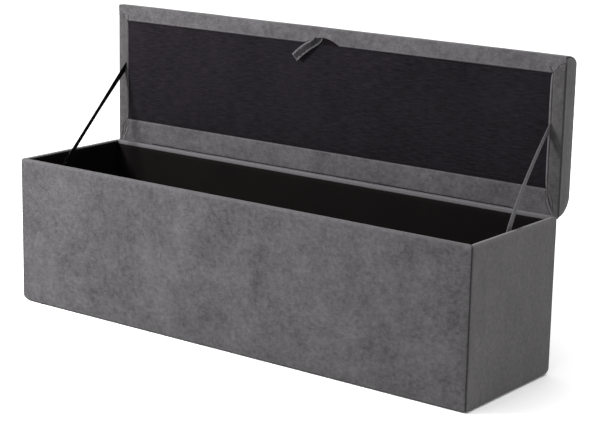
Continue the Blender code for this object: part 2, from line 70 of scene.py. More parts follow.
front_low, front_high = span("front_cover")
rear_low, rear_high = span("rear_cover")
seat_low, seat_high = span("seat_cover")
HALF = float(span("right_end_cover")[1][0])
YF, YR = float(front_low[1]), float(rear_high[1])
ZB, RIM = float(front_low[2]), float(front_high[2])
YL, ZL = float(seat_low[1]), float(seat_low[2])
LID_T = float(seat_high[1]) - YL
LID_D = float(seat_high[2]) - ZL
PANEL_LOW, PANEL_HIGH = span("lid_panel")
B_REAR = float(PANEL_LOW[2]) - ZL
B_FRONT = float(PANEL_HIGH[2]) - ZL
X_IN = float(PANEL_HIGH[0])
MID_Y = (YF + YR) / 2
N_BOARD = float(span("front_board")[0][1]) - YF
N_BOARD_IN = float(span("front_board")[1][1]) - YF
N_WAD = float(span("front_wadding")[0][1]) - YF
N_IN = float(front_high[1]) - YF
N_LINING = float(span("front_lining")[0][1]) - YF


def lid(x, v, w):
    """Lid coordinates to the row frame, for arrays of one shape. The cover's lowest corners sag a little beyond the hinge."""
    v = v - 0.0055 * smoothstep(0.685, 0.738, np.abs(x)) * smoothstep(0.034, 0.002, v) * smoothstep(0.036, 0.006, w)
    return np.stack(np.broadcast_arrays(x, YL + w, ZL + v), axis=-1).astype(float)


def fbm(points, scale, octaves=3, seed=0.0):
    flat = np.asarray(points, float).reshape(-1, 3) * scale + np.array((17.13, 5.71, 11.37)) * seed
    out = np.fromiter((noise.fractal(Vector(p), 1.0, 2.0, octaves) for p in flat), float, len(flat))
    return out.reshape(np.asarray(points).shape[:-1])


def smoothstep(a, b, x):
    t = np.clip((np.asarray(x, float) - a) / (b - a), 0, 1)
    return t * t * (3 - 2 * t)


def ease(d, r):
    """A quarter round: 0 at the edge, 1 from r inwards."""
    t = np.clip(np.asarray(d, float) / r, 0, 1)
    return np.sqrt(np.clip(1 - (1 - t) ** 2, 0, 1))


def edge_steps(total, r, step, k=6):
    """Places from 0 to total, close together in the rounded edges."""
    a = r * (1 - np.cos(np.linspace(0, np.pi / 2, k + 1)))
    mid = np.linspace(r, total - r, max(2, int((total - 2 * r) / step) + 1))
    return np.concatenate([a[:-1], mid, (total - a[::-1])[1:]])


def grid_normals(p):
    du = np.gradient(p, axis=0)
    dv = np.gradient(p, axis=1)
    n = np.cross(du, dv)
    return n / np.maximum(np.linalg.norm(n, axis=-1, keepdims=True), 1e-12)


# -------------------------------------------------------------- mesh makers
def mesh_object(name, verts, faces, layers=None, smooth=True, sharp=None):
    mesh = bpy.data.meshes.new(name)
    mesh.from_pydata([tuple(v) for v in np.asarray(verts, float)], [], faces)
    bm = bmesh.new()
    bm.from_mesh(mesh)
    bmesh.ops.recalc_face_normals(bm, faces=bm.faces)
    bm.to_mesh(mesh)
    bm.free()
    for key, values in (layers or {}).items():
        mesh.attributes.new(key, "FLOAT", "POINT").data.foreach_set(
            "value", np.asarray(values, np.float32).ravel()
        )
    mesh.polygons.foreach_set("use_smooth", [smooth] * len(mesh.polygons))
    if sharp is not None:
        mesh.set_sharp_from_angle(angle=np.radians(sharp))
    obj = bpy.data.objects.new(name, mesh)
    SCENE.collection.objects.link(obj)
    return obj


def shell(name, outer, inner, layers=None, sharp=None):
    """A closed form between an outer and an inner grid of the same shape."""
    n, m, _ = outer.shape
    verts = np.concatenate([outer.reshape(-1, 3), inner.reshape(-1, 3)])
    a = np.arange(n * m).reshape(n, m)
    b = a + n * m

    def quads(q):
        return np.stack([q[:-1, :-1], q[1:, :-1], q[1:, 1:], q[:-1, 1:]], -1).reshape(-1, 4)

    def strip(p, q):
        return np.stack([p[:-1], q[:-1], q[1:], p[1:]], -1)

    faces = np.concatenate(
        [
            quads(a),
            quads(b)[:, ::-1],
            strip(a[:, 0], b[:, 0]),
            strip(a[:, -1], b[:, -1])[:, ::-1],
            strip(a[0], b[0])[:, ::-1],
            strip(a[-1], b[-1]),
        ]
    )
    wide = {k: np.ravel(np.broadcast_to(v, (n, m))) for k, v in (layers or {}).items()}
    both = {k: np.concatenate([v, v]) for k, v in wide.items()}
    return mesh_object(name, verts, faces.tolist(), both, sharp=sharp)


def loft(name, rings, layers=None, closed=True, sharp=None, slots=None):
    """Closed rings of points, one after another, with flat ends."""
    n, m, _ = rings.shape
    a = np.arange(n * m).reshape(n, m)
    faces = []
    for i in range(n - 1):
        for j in range(m):
            k = (j + 1) % m
            faces.append((int(a[i, j]), int(a[i + 1, j]), int(a[i + 1, k]), int(a[i, k])))
    faces.append(tuple(int(q) for q in a[0]))
    faces.append(tuple(int(q) for q in a[-1][::-1]))
    return mesh_object(name, rings.reshape(-1, 3), faces, layers, sharp=sharp)


def prism(name, outline, to_point, low, high, bevel=0.0):
    """An outline in a plane, drawn out from low to high along the plane's normal."""
    outline = np.asarray(outline, float)
    m = len(outline)
    verts = [to_point(a, b, low) for a, b in outline] + [to_point(a, b, high) for a, b in outline]
    faces = [tuple(range(m)), tuple(range(2 * m - 1, m - 1, -1))]
    faces += [(i, i + m, (i + 1) % m + m, (i + 1) % m) for i in range(m)]
    obj = mesh_object(name, verts, faces, smooth=True, sharp=30)
    if bevel:
        mod = obj.modifiers.new("edge", "BEVEL")
        mod.width = bevel
        mod.segments = 2
        mod.limit_method = "ANGLE"
        mod.angle_limit = np.radians(50)
    return obj


# ----------------------------------------------------------------- materials
class Tree:
    """A short way to write node trees."""

    def __init__(self, name):
        self.mat = bpy.data.materials.new(name)
        self.mat.use_nodes = True
        self.nt = self.mat.node_tree
        self.nt.nodes.clear()
        self.out = self.nt.nodes.new("ShaderNodeOutputMaterial")
        self.bsdf = self.nt.nodes.new("ShaderNodeBsdfPrincipled")
        self.nt.links.new(self.bsdf.outputs[0], self.out.inputs["Surface"])
        self.object = self.nt.nodes.new("ShaderNodeTexCoord").outputs["Object"]

    def put(self, socket, value):
        if isinstance(value, bpy.types.NodeSocket):
            self.nt.links.new(value, socket)
        elif value is not None:
            socket.default_value = value

    def scaled(self, scale, vector=None, rotation=(0, 0, 0)):
        node = self.nt.nodes.new("ShaderNodeMapping")
        self.put(node.inputs["Vector"], vector or self.object)
        node.inputs["Scale"].default_value = scale
        node.inputs["Rotation"].default_value = rotation
        return node.outputs[0]

    def noise(self, scale, detail=3.0, rough=0.55, vector=None, warp=0.0):
        node = self.nt.nodes.new("ShaderNodeTexNoise")
        self.put(node.inputs["Vector"], vector or self.object)
        node.inputs["Scale"].default_value = scale
        node.inputs["Detail"].default_value = detail
        node.inputs["Roughness"].default_value = rough
        node.inputs["Distortion"].default_value = warp
        return node.outputs["Fac"]

    def voronoi(self, scale, feature="F1", vector=None, out="Distance"):
        node = self.nt.nodes.new("ShaderNodeTexVoronoi")
        node.feature = feature
        self.put(node.inputs["Vector"], vector or self.object)
        node.inputs["Scale"].default_value = scale
        return node.outputs[out]

    def wave(self, scale, direction, vector=None, distort=0.0, profile="SIN"):
        node = self.nt.nodes.new("ShaderNodeTexWave")
        node.wave_type = "BANDS"
        node.bands_direction = direction
        node.wave_profile = profile
        self.put(node.inputs["Vector"], vector or self.object)
        node.inputs["Scale"].default_value = scale
        node.inputs["Distortion"].default_value = distort
        node.inputs["Detail"].default_value = 1.0
        node.inputs["Detail Scale"].default_value = 1.5
        return node.outputs["Fac"]

    def math(self, op, a, b=0.0, c=None, clamp=False):
        node = self.nt.nodes.new("ShaderNodeMath")
        node.operation = op
        node.use_clamp = clamp
        self.put(node.inputs[0], a)
        self.put(node.inputs[1], b)
        if c is not None:
            self.put(node.inputs[2], c)
        return node.outputs[0]

    def remap(self, value, low, high, to_low=0.0, to_high=1.0):
        node = self.nt.nodes.new("ShaderNodeMapRange")
        self.put(node.inputs["Value"], value)
        node.inputs["From Min"].default_value = low
        node.inputs["From Max"].default_value = high
        node.inputs["To Min"].default_value = to_low
        node.inputs["To Max"].default_value = to_high
        return node.outputs[0]

    def weighted(self, *pairs, base=0.0):
        """base plus each value, less a half, times its weight."""
        total = None
        for value, weight in pairs:
            term = self.math("MULTIPLY_ADD", value, weight, base - 0.5 * weight if total is None else -0.5 * weight)
            total = term if total is None else self.math("ADD", total, term)
        return total

    def mix(self, factor, a, b, blend="MIX"):
        node = self.nt.nodes.new("ShaderNodeMix")
        node.data_type = "RGBA"
        node.blend_type = blend
        self.put(node.inputs[0], factor)
        self.put(node.inputs[6], (*a, 1.0) if isinstance(a, tuple) and len(a) == 3 else a)
        self.put(node.inputs[7], (*b, 1.0) if isinstance(b, tuple) and len(b) == 3 else b)
        return node.outputs[2]

    def layer(self, name):
        node = self.nt.nodes.new("ShaderNodeAttribute")
        node.attribute_name = name
        return node.outputs["Fac"]

    def bump(self, height, distance, strength=1.0, normal=None):
        node = self.nt.nodes.new("ShaderNodeBump")
        node.inputs["Strength"].default_value = strength
        node.inputs["Distance"].default_value = distance
        self.put(node.inputs["Height"], height)
        if normal is not None:
            self.put(node.inputs["Normal"], normal)
        return node.outputs[0]

    def surface(self, color, roughness, normal=None, **fixed):
        self.put(self.bsdf.inputs["Base Color"], (*color, 1.0) if isinstance(color, tuple) else color)
        self.put(self.bsdf.inputs["Roughness"], roughness)
        if normal is not None:
            self.put(self.bsdf.inputs["Normal"], normal)
        for key, value in fixed.items():
            self.bsdf.inputs[key.replace("_", " ")].default_value = value
        return self.mat


def suede(name, dark, light, cloud=0.30, mottle=0.42, grain=0.34, nap=(1.0, 1.0, 1.0), sheen=0.30):
    """Brushed microfibre suede: cloudy where the nap lies differently, mottled close up, with a fine fibre grain."""
    t = Tree(name)
    clouds = t.remap(t.noise(7.5, 3.0, 0.55, t.scaled(nap), warp=0.6), 0.30, 0.70)
    patch = t.remap(t.noise(24.0, 6.0, 0.68, t.scaled(nap), warp=0.5), 0.34, 0.66)
    spots = t.remap(t.noise(88.0, 5.0, 0.70), 0.32, 0.68)
    fibre = t.remap(t.noise(520.0, 3.0, 0.7), 0.25, 0.75)
    strokes = t.remap(t.noise(1.0, 3.0, 0.6, t.scaled((55.0, 210.0, 210.0), rotation=(0.0, 0.5, 0.2))), 0.3, 0.7)
    shade = t.weighted((clouds, cloud), (patch, cloud * 1.1), (spots, mottle), (fibre, grain), (strokes, mottle * 0.45), base=0.5)
    color = t.mix(t.math("ADD", shade, 0.0, clamp=True), dark, light)
    # The first layer below paints shade into the colour, the second paints a highlight.
    painted_shade = t.layer("painted_shade")
    edge = t.layer("edge")
    color = t.mix(t.math("MULTIPLY", edge, 0.75, clamp=True), color, tuple(min(1.0, 1.42 * c) for c in light))
    color = t.mix(t.math("MULTIPLY", painted_shade, 0.80, clamp=True), color, tuple(0.22 * c for c in dark))
    height = t.weighted((spots, 0.55), (fibre, 0.9), (strokes, 0.35), (patch, 0.5), base=0.5)
    normal = t.bump(height, 0.0007, 0.55)
    rough = t.remap(patch, 0.0, 1.0, 0.84, 0.97)
    return t.surface(
        color, rough, normal, Sheen_Weight=sheen, Sheen_Roughness=0.45, Sheen_Tint=(0.86, 0.86, 0.90, 1.0), Specular_IOR_Level=0.18
    )


def woven(name, dark, light, pitch, streak=0.5, rough=0.86, sheen=0.12, specular=0.22):
    """A plain weave with slubs: weft along X, warp across it, each thread a little different."""
    t = Tree(name)
    weft = t.wave(0.314159 / pitch, "Z", distort=0.35)
    warp = t.wave(0.314159 / pitch, "X", distort=0.25)
    thread = t.math("MAXIMUM", t.math("MULTIPLY", weft, 1.0), t.math("MULTIPLY", warp, 0.72))
    slub = t.remap(t.noise(1.0, 4.0, 0.68, t.scaled((30.0, 40.0, 300.0))), 0.32, 0.68)
    ends = t.remap(t.noise(1.0, 2.0, 0.6, t.scaled((300.0, 40.0, 7.0))), 0.30, 0.70)
    clouds = t.remap(t.noise(6.0, 3.0, 0.55), 0.30, 0.70)
    fluff = t.remap(t.noise(900.0, 2.0, 0.7), 0.25, 0.75)
    shade = t.weighted((slub, streak), (ends, streak * 0.10), (clouds, 0.22), (fluff, 0.30), (thread, 0.30), base=0.48)
    color = t.mix(t.math("ADD", shade, 0.0, clamp=True), dark, light)
    # painted shade from the layer read here
    color = t.mix(t.math("MULTIPLY", t.layer("painted_shade"), 0.8, clamp=True), color, tuple(0.25 * c for c in dark))
    height = t.weighted((thread, 1.0), (slub, 0.7), (fluff, 0.35), base=0.5)
    return t.surface(
        color, t.remap(slub, 0, 1, rough - 0.06, rough + 0.08), t.bump(height, 0.0004, 0.7),
        Sheen_Weight=sheen, Sheen_Roughness=0.4, Specular_IOR_Level=specular,
    )


def nonwoven(name, dark, light):
    """Thin spun-bonded cloth: pressed points in a close grid on a fibrous ground."""
    t = Tree(name)
    points = t.remap(t.voronoi(520.0), 0.05, 0.5)
    fibre = t.remap(t.noise(1.0, 4.0, 0.7, t.scaled((700.0, 500.0, 300.0))), 0.25, 0.75)
    clouds = t.remap(t.noise(5.0, 3.0, 0.6), 0.3, 0.7)
    shade = t.weighted((points, 0.35), (fibre, 0.5), (clouds, 0.4), base=0.45)
    color = t.mix(t.math("ADD", shade, 0.0, clamp=True), dark, light)
    height = t.weighted((points, 0.8), (fibre, 0.6), base=0.5)
    return t.surface(color, t.remap(clouds, 0, 1, 0.9, 1.0), t.bump(height, 0.0003, 0.6), Sheen_Weight=0.0, Specular_IOR_Level=0.04)


def ribbed(name, dark, light, pitch=0.0011, highlight_color=None, sheen=0.2):
    """Narrow tape with ribs across it."""
    t = Tree(name)
    rib = t.wave(0.314159 / pitch, "DIAGONAL", distort=0.15)
    fibre = t.remap(t.noise(800.0, 3.0, 0.7), 0.25, 0.75)
    spots = t.remap(t.noise(90.0, 3.0, 0.6), 0.3, 0.7)
    shade = t.weighted((rib, 0.35), (fibre, 0.35), (spots, 0.35), base=0.5)
    color = t.mix(t.math("ADD", shade, 0.0, clamp=True), dark, light)
    # painted highlight on the tape's edges, then painted shade from the second layer
    color = t.mix(t.math("MULTIPLY", t.layer("edge"), 0.75, clamp=True), color, highlight_color or tuple(min(1.0, 1.7 * c) for c in light))
    color = t.mix(t.math("MULTIPLY", t.layer("painted_shade"), 0.85, clamp=True), color, tuple(0.2 * c for c in dark))
    height = t.weighted((rib, 0.9), (fibre, 0.5), base=0.5)
    return t.surface(color, t.remap(spots, 0, 1, 0.82, 0.95), t.bump(height, 0.0003, 0.6), Sheen_Weight=sheen, Specular_IOR_Level=sheen)


def thread(name, dark, light):
    t = Tree(name)
    ply = t.wave(600.0, "DIAGONAL", distort=0.3)
    fuzz = t.remap(t.noise(2500.0, 2.0, 0.7), 0.25, 0.75)
    color = t.mix(t.weighted((ply, 0.6), (fuzz, 0.5), base=0.5), dark, light)
    return t.surface(color, t.remap(fuzz, 0, 1, 0.55, 0.75), t.bump(t.math("ADD", ply, fuzz), 0.0001, 0.7), Sheen_Weight=0.25)


def metal(name, dark, light, low, high, metallic=1.0):
    """Rolled metal with fine drawn lines, small marks and a little staining."""
    t = Tree(name)
    drawn = t.noise(1.0, 4.0, 0.7, t.scaled((14.0, 900.0, 900.0)))
    marks = t.remap(t.noise(140.0, 4.0, 0.7), 0.35, 0.7)
    stain = t.remap(t.noise(16.0, 3.0, 0.6), 0.3, 0.75)
    color = t.mix(t.weighted((drawn, 0.6), (marks, 0.3), (stain, 0.4), base=0.5), dark, light)
    rough = t.remap(t.weighted((drawn, 0.6), (marks, 0.5), (stain, 0.4), base=0.5), 0, 1, low, high)
    return t.surface(color, rough, t.bump(t.weighted((drawn, 0.8), (marks, 0.5), base=0.5), 0.00012, 0.5), Metallic=metallic)


def plastic(name, dark, light):
    t = Tree(name)
    spark = t.remap(t.voronoi(1500.0), 0.1, 0.6)
    scuff = t.remap(t.noise(120.0, 4.0, 0.7), 0.35, 0.7)
    color = t.mix(t.weighted((scuff, 0.7), (spark, 0.3), base=0.45), dark, light)
    return t.surface(color, t.remap(scuff, 0, 1, 0.45, 0.68), t.bump(t.weighted((spark, 0.7), (scuff, 0.5), base=0.5), 0.00012, 0.5))


def chipboard(name):
    """Pressed chips of two tones in resin."""
    t = Tree(name)
    chips = t.voronoi(240.0, vector=t.scaled((0.6, 1.0, 1.0)), out="Color")
    sep = t.nt.nodes.new("ShaderNodeSeparateColor")
    t.put(sep.inputs[0], chips)
    fine = t.remap(t.noise(700.0, 3.0, 0.7), 0.3, 0.7)
    tone = t.weighted((sep.outputs[0], 0.8), (fine, 0.4), (t.noise(9.0), 0.5), base=0.5)
    color = t.mix(t.math("ADD", tone, 0.0, clamp=True), (0.27, 0.17, 0.09), (0.52, 0.37, 0.22))
    return t.surface(color, t.remap(fine, 0, 1, 0.62, 0.85), t.bump(t.weighted((sep.outputs[0], 0.8), (fine, 0.5), base=0.5), 0.0003, 0.5))


def softwood(name):
    t = Tree(name)
    rings = t.wave(38.0, "Y", t.scaled((0.12, 1.0, 1.0)), distort=3.5)
    pores = t.noise(1.0, 3.0, 0.7, t.scaled((18.0, 620.0, 620.0)))
    tone = t.weighted((rings, 0.6), (pores, 0.6), (t.noise(11.0), 0.4), base=0.5)
    color = t.mix(t.math("ADD", tone, 0.0, clamp=True), (0.40, 0.24, 0.11), (0.68, 0.48, 0.27))
    return t.surface(color, t.remap(pores, 0.3, 0.7, 0.5, 0.75), t.bump(t.weighted((rings, 0.4), (pores, 0.8), base=0.5), 0.0003, 0.5))


def foam(name):
    t = Tree(name)
    cells = t.remap(t.voronoi(900.0), 0.05, 0.55)
    big = t.remap(t.voronoi(330.0), 0.02, 0.5)
    color = t.mix(t.weighted((cells, 0.8), (big, 0.4), base=0.6), (0.52, 0.46, 0.30), (0.82, 0.76, 0.58))
    return t.surface(color, t.remap(cells, 0, 1, 0.9, 1.0), t.bump(t.weighted((cells, 1.0), (big, 0.8), base=0.5), 0.0006, 0.8), Specular_IOR_Level=0.15)


def batting(name):
    t = Tree(name)
    hair = t.noise(1.0, 5.0, 0.75, t.scaled((60.0, 380.0, 380.0), rotation=(0.4, 0.7, 0.2)), warp=1.5)
    tuft = t.noise(70.0, 4.0, 0.7, warp=0.8)
    color = t.mix(t.weighted((hair, 1.2), (tuft, 0.5), base=0.5), (0.55, 0.55, 0.53), (0.86, 0.86, 0.84))
    return t.surface(color, t.remap(tuft, 0.3, 0.7, 0.9, 1.0), t.bump(t.weighted((hair, 1.0), (tuft, 1.0), base=0.5), 0.0012, 0.8), Sheen_Weight=0.2)


SUEDE = suede("suede_grey", (0.0205, 0.0192, 0.0205), (0.0690, 0.0660, 0.0690), cloud=0.32, mottle=0.50, sheen=0.08)
# Lit and shaded copies of the same grey suede: darker for the front and rear walls and for the flaps, lighter for the
# ends. This is painted light standing in for how the lamps fall on them.
SUEDE_WALL_SHADED = suede("suede_grey_wall_painted_shade", (0.0160, 0.0150, 0.0160), (0.0585, 0.0560, 0.0585), cloud=0.32, mottle=0.50, sheen=0.08)
SUEDE_FLAP_SHADED = suede("suede_grey_flap_painted_shade", (0.0160, 0.0150, 0.0155), (0.0500, 0.0480, 0.0490), cloud=0.30, mottle=0.50, sheen=0.07)
SUEDE_END_LIT = suede("suede_grey_end_painted_light", (0.036, 0.0340, 0.0345), (0.090, 0.0865, 0.0875), nap=(1.0, 1.3, 0.7), cloud=0.22, mottle=0.40, sheen=0.10)
PANEL = woven("panel_weave", (0.0010, 0.0006, 0.0012), (0.0100, 0.0084, 0.0108), 0.0011, streak=0.95, sheen=0.01, specular=0.05)
LINING = nonwoven("lining_black", (0.0012, 0.0008, 0.0008), (0.0044, 0.0034, 0.0035))
STRAP_OUT = suede("stay_outer", (0.048, 0.0460, 0.048), (0.096, 0.0925, 0.097), cloud=0.15, mottle=0.35, grain=0.35, sheen=0.08)
STRAP_IN = ribbed("stay_inner", (0.0010, 0.0009, 0.0011), (0.0034, 0.0031, 0.0036), sheen=0.02)
# the tab's edges get a painted highlight colour
TAB = ribbed("tab_tape", (0.0030, 0.0028, 0.0032), (0.0240, 0.0225, 0.0245), highlight_color=(0.110, 0.106, 0.111), sheen=0.06)
THREAD = thread("thread_grey", (0.16, 0.16, 0.165), (0.34, 0.34, 0.345))
THREAD_DARK = thread("thread_dark", (0.03, 0.03, 0.032), (0.075, 0.073, 0.078))
STEEL = metal("hinge_steel", (0.012, 0.012, 0.013), (0.045, 0.045, 0.048), 0.42, 0.62)
GLIDE = plastic("glide_black", (0.008, 0.008, 0.009), (0.030, 0.030, 0.032))
CHIP = chipboard("chipboard")
PINE = softwood("softwood")
FOAM = foam("seat_foam_cells")
WADDING = batting("wadding_fibre")


def dress(obj, *mats):
    obj.data.materials.clear()
    for m in mats:
        obj.data.materials.append(m)
    return obj


# -------------------------------------------------------------------- camera
def place_camera():
    data = bpy.data.cameras.new("camera")
    cam = bpy.data.objects.new("camera", data)
    SCENE.collection.objects.link(cam)
    data.lens = 106.94
    data.sensor_width = 36.0
    data.clip_start = 0.05
    data.clip_end = 60.0
    az, el, roll = np.radians((36.97, 13.30, 1.17))
    ahead = np.array((-np.sin(az) * np.cos(el), np.cos(az) * np.cos(el), -np.sin(el)))
    right = np.cross(ahead, (0, 0, 1))
    right /= np.linalg.norm(right)
    up = np.cross(right, ahead)
    r2 = np.cos(roll) * right + np.sin(roll) * up
    u2 = -np.sin(roll) * right + np.cos(roll) * up
    m = Matrix.Identity(4)
    for k, axis in enumerate((r2, u2, -ahead)):
        for j in range(3):
            m[j][k] = axis[j]
    m.translation = Vector((2.8526, -3.6975, 1.4409))
    cam.matrix_world = m
    SCENE.camera = cam


place_camera()

# ------------------------------------------------------ the box's covered walls
CORNER_R = 0.0050          # round of the upright corners, in plan
RIM_OUT, RIM_IN = 0.0042, 0.0030
FOOT_R = 0.0035            # round of the lower edge
COVER = 0.0010


def lift(d, r):
    """How far a corner's round of radius r takes the edge in, at a distance d along it."""
    d = np.clip(d, 0, r)
    return r - np.sqrt(np.clip(r * r - (r - d) ** 2, 0, None))


WALLS = {  # name: (middle of the outer face, along, out, half length, turn inside, lower corner rounds, upper corner rounds)
    "front": ((0, YF), (1, 0), (0, -1), HALF, 0.0042, (0.020, 0.008), (0.0080, 0.0022)),
    "right": ((HALF, MID_Y), (0, 1), (1, 0), (YR - YF) / 2, 0.0042, (0.008, 0.020), (0.0022, 0.0030)),
    "rear": ((0, YR), (-1, 0), (0, 1), HALF, 0.0105, (0.020, 0.016), (0.0030, 0.0030)),
    "left": ((-HALF, MID_Y), (0, -1), (-1, 0), (YR - YF) / 2, 0.0042, (0.016, 0.020), (0.0030, 0.0080)),
}


def wall_place(name, s, n, z):
    """A wall's own axes, along it, in from its face and up, to the row frame."""
    middle, along, out = WALLS[name][:3]
    return np.stack(
        [
            middle[0] + along[0] * s - out[0] * n,
            middle[1] + along[1] * s - out[1] * n,
            z + 0 * s,
        ],
        axis=-1,
    )


def wall_line(turn):
    """From the turn under the wall, up its face, over the rim and down inside: (in, share of height, rise)."""
    line = [(n, 0.0, 0.0) for n in np.linspace(0.0110, FOOT_R, 5)[:-1]]
    line += [(FOOT_R - FOOT_R * np.sin(a), 0.0, FOOT_R - FOOT_R * np.cos(a)) for a in np.linspace(0, np.pi / 2, 6)[:-1]]
    line += [(0.0, a, FOOT_R * (1 - a) - RIM_OUT * a) for a in np.concatenate([np.linspace(0, 0.06, 6), np.linspace(0.06, 0.94, 54)[1:-1], np.linspace(0.94, 1, 7)])]
    line += [(RIM_OUT * (1 - np.cos(a)), 1.0, -RIM_OUT + RIM_OUT * np.sin(a)) for a in np.linspace(0, np.pi / 2, 8)[1:]]
    line += [(n, 1.0, 0.0) for n in np.linspace(RIM_OUT, N_IN - RIM_IN, 6)[1:-1]]
    line += [(N_IN - RIM_IN + RIM_IN * np.sin(a), 1.0, -RIM_IN + RIM_IN * np.cos(a)) for a in np.linspace(0, np.pi / 2, 6)]
    line += [(N_IN, 1.0, -d) for d in np.linspace(RIM_IN, turn, 4)[1:]]
    return np.array(line)


def wall_skin(name, seed):
    """One wall's cover: a closed skin over the foot, the face, the rim and down inside."""
    middle, along, out, half, turn, lower, upper = WALLS[name]
    line = wall_line(turn)
    near = np.array((0.0, 0.0007, 0.0014, 0.0022, 0.0032, 0.0045, 0.0062, 0.0085, 0.0115, 0.0150))
    straight = 2 * (half - CORNER_R)
    run = np.concatenate([near, np.linspace(0.0190, straight - 0.0190, int((straight - 0.038) / 0.0075) + 1), straight - near[::-1]])
    xi = run / straight * 2 - 1                      # -1 to 1 over the straight part
    turnings = np.linspace(0, np.pi / 4, 8)[1:]
    stations = [(-1.0, t) for t in turnings[::-1]] + [(x, 0.0) for x in xi] + [(1.0, t) for t in turnings]
    st_x = np.array([a for a, _ in stations])[:, None]
    st_t = np.array([b for _, b in stations])[:, None]
    n, share, rise = (line[None, :, k] for k in range(3))
    n = n + 0 * st_x
    end = np.sign(st_x) * (np.abs(st_x) > 0.999999)

    def place(n):
        r = np.maximum(CORNER_R - n, 0.0005)
        reach = half - n - r
        s = st_x * reach + end * r * np.sin(st_t)
        depth = n + r * (1 - np.cos(st_t)) * np.abs(end)
        return s, depth

    s, depth = place(n)
    seam = np.abs((half - np.abs(s)) - depth) / np.sqrt(2)
    face = (rise <= 0) & (share > 0) | (share == 0) & (rise > 0)
    groove = 0.0010 * np.exp(-((seam / 0.0013) ** 2)) + 0.00035 * np.exp(-((seam / 0.0040) ** 2))
    bulge = 0.0010 * np.sin(np.pi * np.clip(share, 0, 1)) ** 0.7 * smoothstep(0.0, 0.07, half - np.abs(s))
    flat = np.stack([s, 0 * s, share * (RIM - ZB) + 0 * s], axis=-1)
    waves = 0.00045 * fbm(flat, 5.5, 3, seed) + 0.00016 * fbm(flat, 24.0, 2, seed + 0.5)
    # the weave pulls in short waves from the lower edge and the upright corners
    pulls = 0.00022 * np.sin(2 * np.pi * s / 0.034 + 3 * fbm(flat, 9.0, 1, seed + 1)) * np.exp(-share * (RIM - ZB) / 0.030)
    on_face = (share > 0.0) & (share < 1.0)
    n_face = np.where(on_face, n - bulge - waves * smoothstep(0, 0.10, share) * smoothstep(0, 0.06, 1 - share) - pulls, n)
    near_seam = np.where(n < CORNER_R, groove, 0.0)
    s, depth = place(n_face + near_seam)
    low = np.where(s < 0, lower[0], lower[1])
    high = np.where(s < 0, upper[0], upper[1])
    d = half - np.abs(s)
    z_low = ZB + lift(d, low)
    z_high = RIM - lift(d, high)
    z = (1 - share) * z_low + share * z_high + rise
    over = (share >= 1.0)
    rim_wave = 0.00030 * fbm(flat * np.array((1, 1, 0)), 13.0, 2, seed + 2)
    z = z + np.where(over, np.minimum(rim_wave, 0.0003) - groove * 0.8 - 0.0003, 0.0)
    outer = wall_place(name, s, depth, z)
    normal = grid_normals(outer)
    inner_grid = outer - normal * COVER * np.sign(
        np.sum(normal[len(stations) // 2, len(line) // 3] * np.array((out[0], out[1], 0)))
    )
    # painted shade along the corner seam, less over the rim; painted highlight over the rim, strongest at its inner
    # roll, and along the face just under the rim
    painted_shade = np.clip(np.exp(-((seam / 0.0013) ** 2)) * 1.0 + 0.42 * np.exp(-((seam / 0.0050) ** 2)), 0, 1)
    painted_shade = np.where(share + 0 * s > 0.99, 0.7 * painted_shade, painted_shade)
    painted_shade = np.where(depth > CORNER_R * 1.6, painted_shade * 0.8, painted_shade)
    edge = np.where(over, np.where(n > N_IN - RIM_IN - 0.0016, 0.95, 0.35) + 0 * s, 0.0) * (1 - painted_shade)
    edge = edge + 0.35 * np.exp(-((1 - share) * (RIM - ZB) / 0.0025)) * (share < 1.0)
    obj = shell(f"{name}_skin", outer, inner_grid, {"painted_shade": painted_shade, "edge": np.clip(edge, 0, 1)})
    dress(obj, SUEDE_WALL_SHADED if name in ("front", "rear") else SUEDE_END_LIT)
    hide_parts(f"{name}_cover")
    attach(obj, "box")
    return obj


def wall_outline(name, inset, low_z, high_z, steps=8):
    """The board's or the sheet's outline in the wall's plane, its corners kept inside the cover's rounded ones."""
    half = WALLS[name][3] - inset
    lower, upper = WALLS[name][5:7]
    points = []
    for side, r in ((-1, lower[0]), (1, lower[1])):
        r = max(r - inset * 0.3, 0.002)
        arc = [(side * (half - r + r * np.sin(a)), low_z + r - r * np.cos(a)) for a in np.linspace(0, np.pi / 2, steps)]
        points += arc[::-1] if side < 0 else arc
    for side, r in ((1, upper[1]), (-1, upper[0])):
        r = max(r, 0.001)
        arc = [(side * (half - r + r * np.sin(a)), high_z - r + r * np.cos(a)) for a in np.linspace(0, np.pi / 2, steps)]
        points += arc[::-1] if side > 0 else arc
    return points


for k, side in enumerate(("front", "right", "rear", "left")):
    wall_skin(side, 3.0 + k)
    board_low, board_high = span(f"{side}_board")
    wad_low, wad_high = span(f"{side}_wadding")
    out = np.array(WALLS[side][2])

    def depth_of(low, high, side=side):
        axis = 0 if side in ("left", "right") else 1
        face = WALLS[side][0][axis]
        ends = sorted(abs(face - float(q[axis])) for q in (low, high))
        return ends

    def spread(low, high, side=side):
        axis = 1 if side in ("left", "right") else 0
        return WALLS[side][3] - (float(high[axis]) - float(low[axis])) / 2

    for node, low, high, mat, piece in (
        (f"{side}_board", board_low, board_high, CHIP, f"{side}_chipboard"),
        (f"{side}_wadding", wad_low, wad_high, WADDING, f"{side}_batting"),
    ):
        near, far = depth_of(low, high)
        inset = max(spread(low, high), CORNER_R)
        outline = wall_outline(side, inset, float(low[2]), float(high[2]))
        plate = prism(
            piece, outline, lambda a, b, c, side=side: tuple(wall_place(side, np.array(a), c, np.array(b))), near, far,
            0.0006 if mat is CHIP else 0.0003,
        )
        dress(plate, mat)
        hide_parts(node)
        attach(plate, "box")


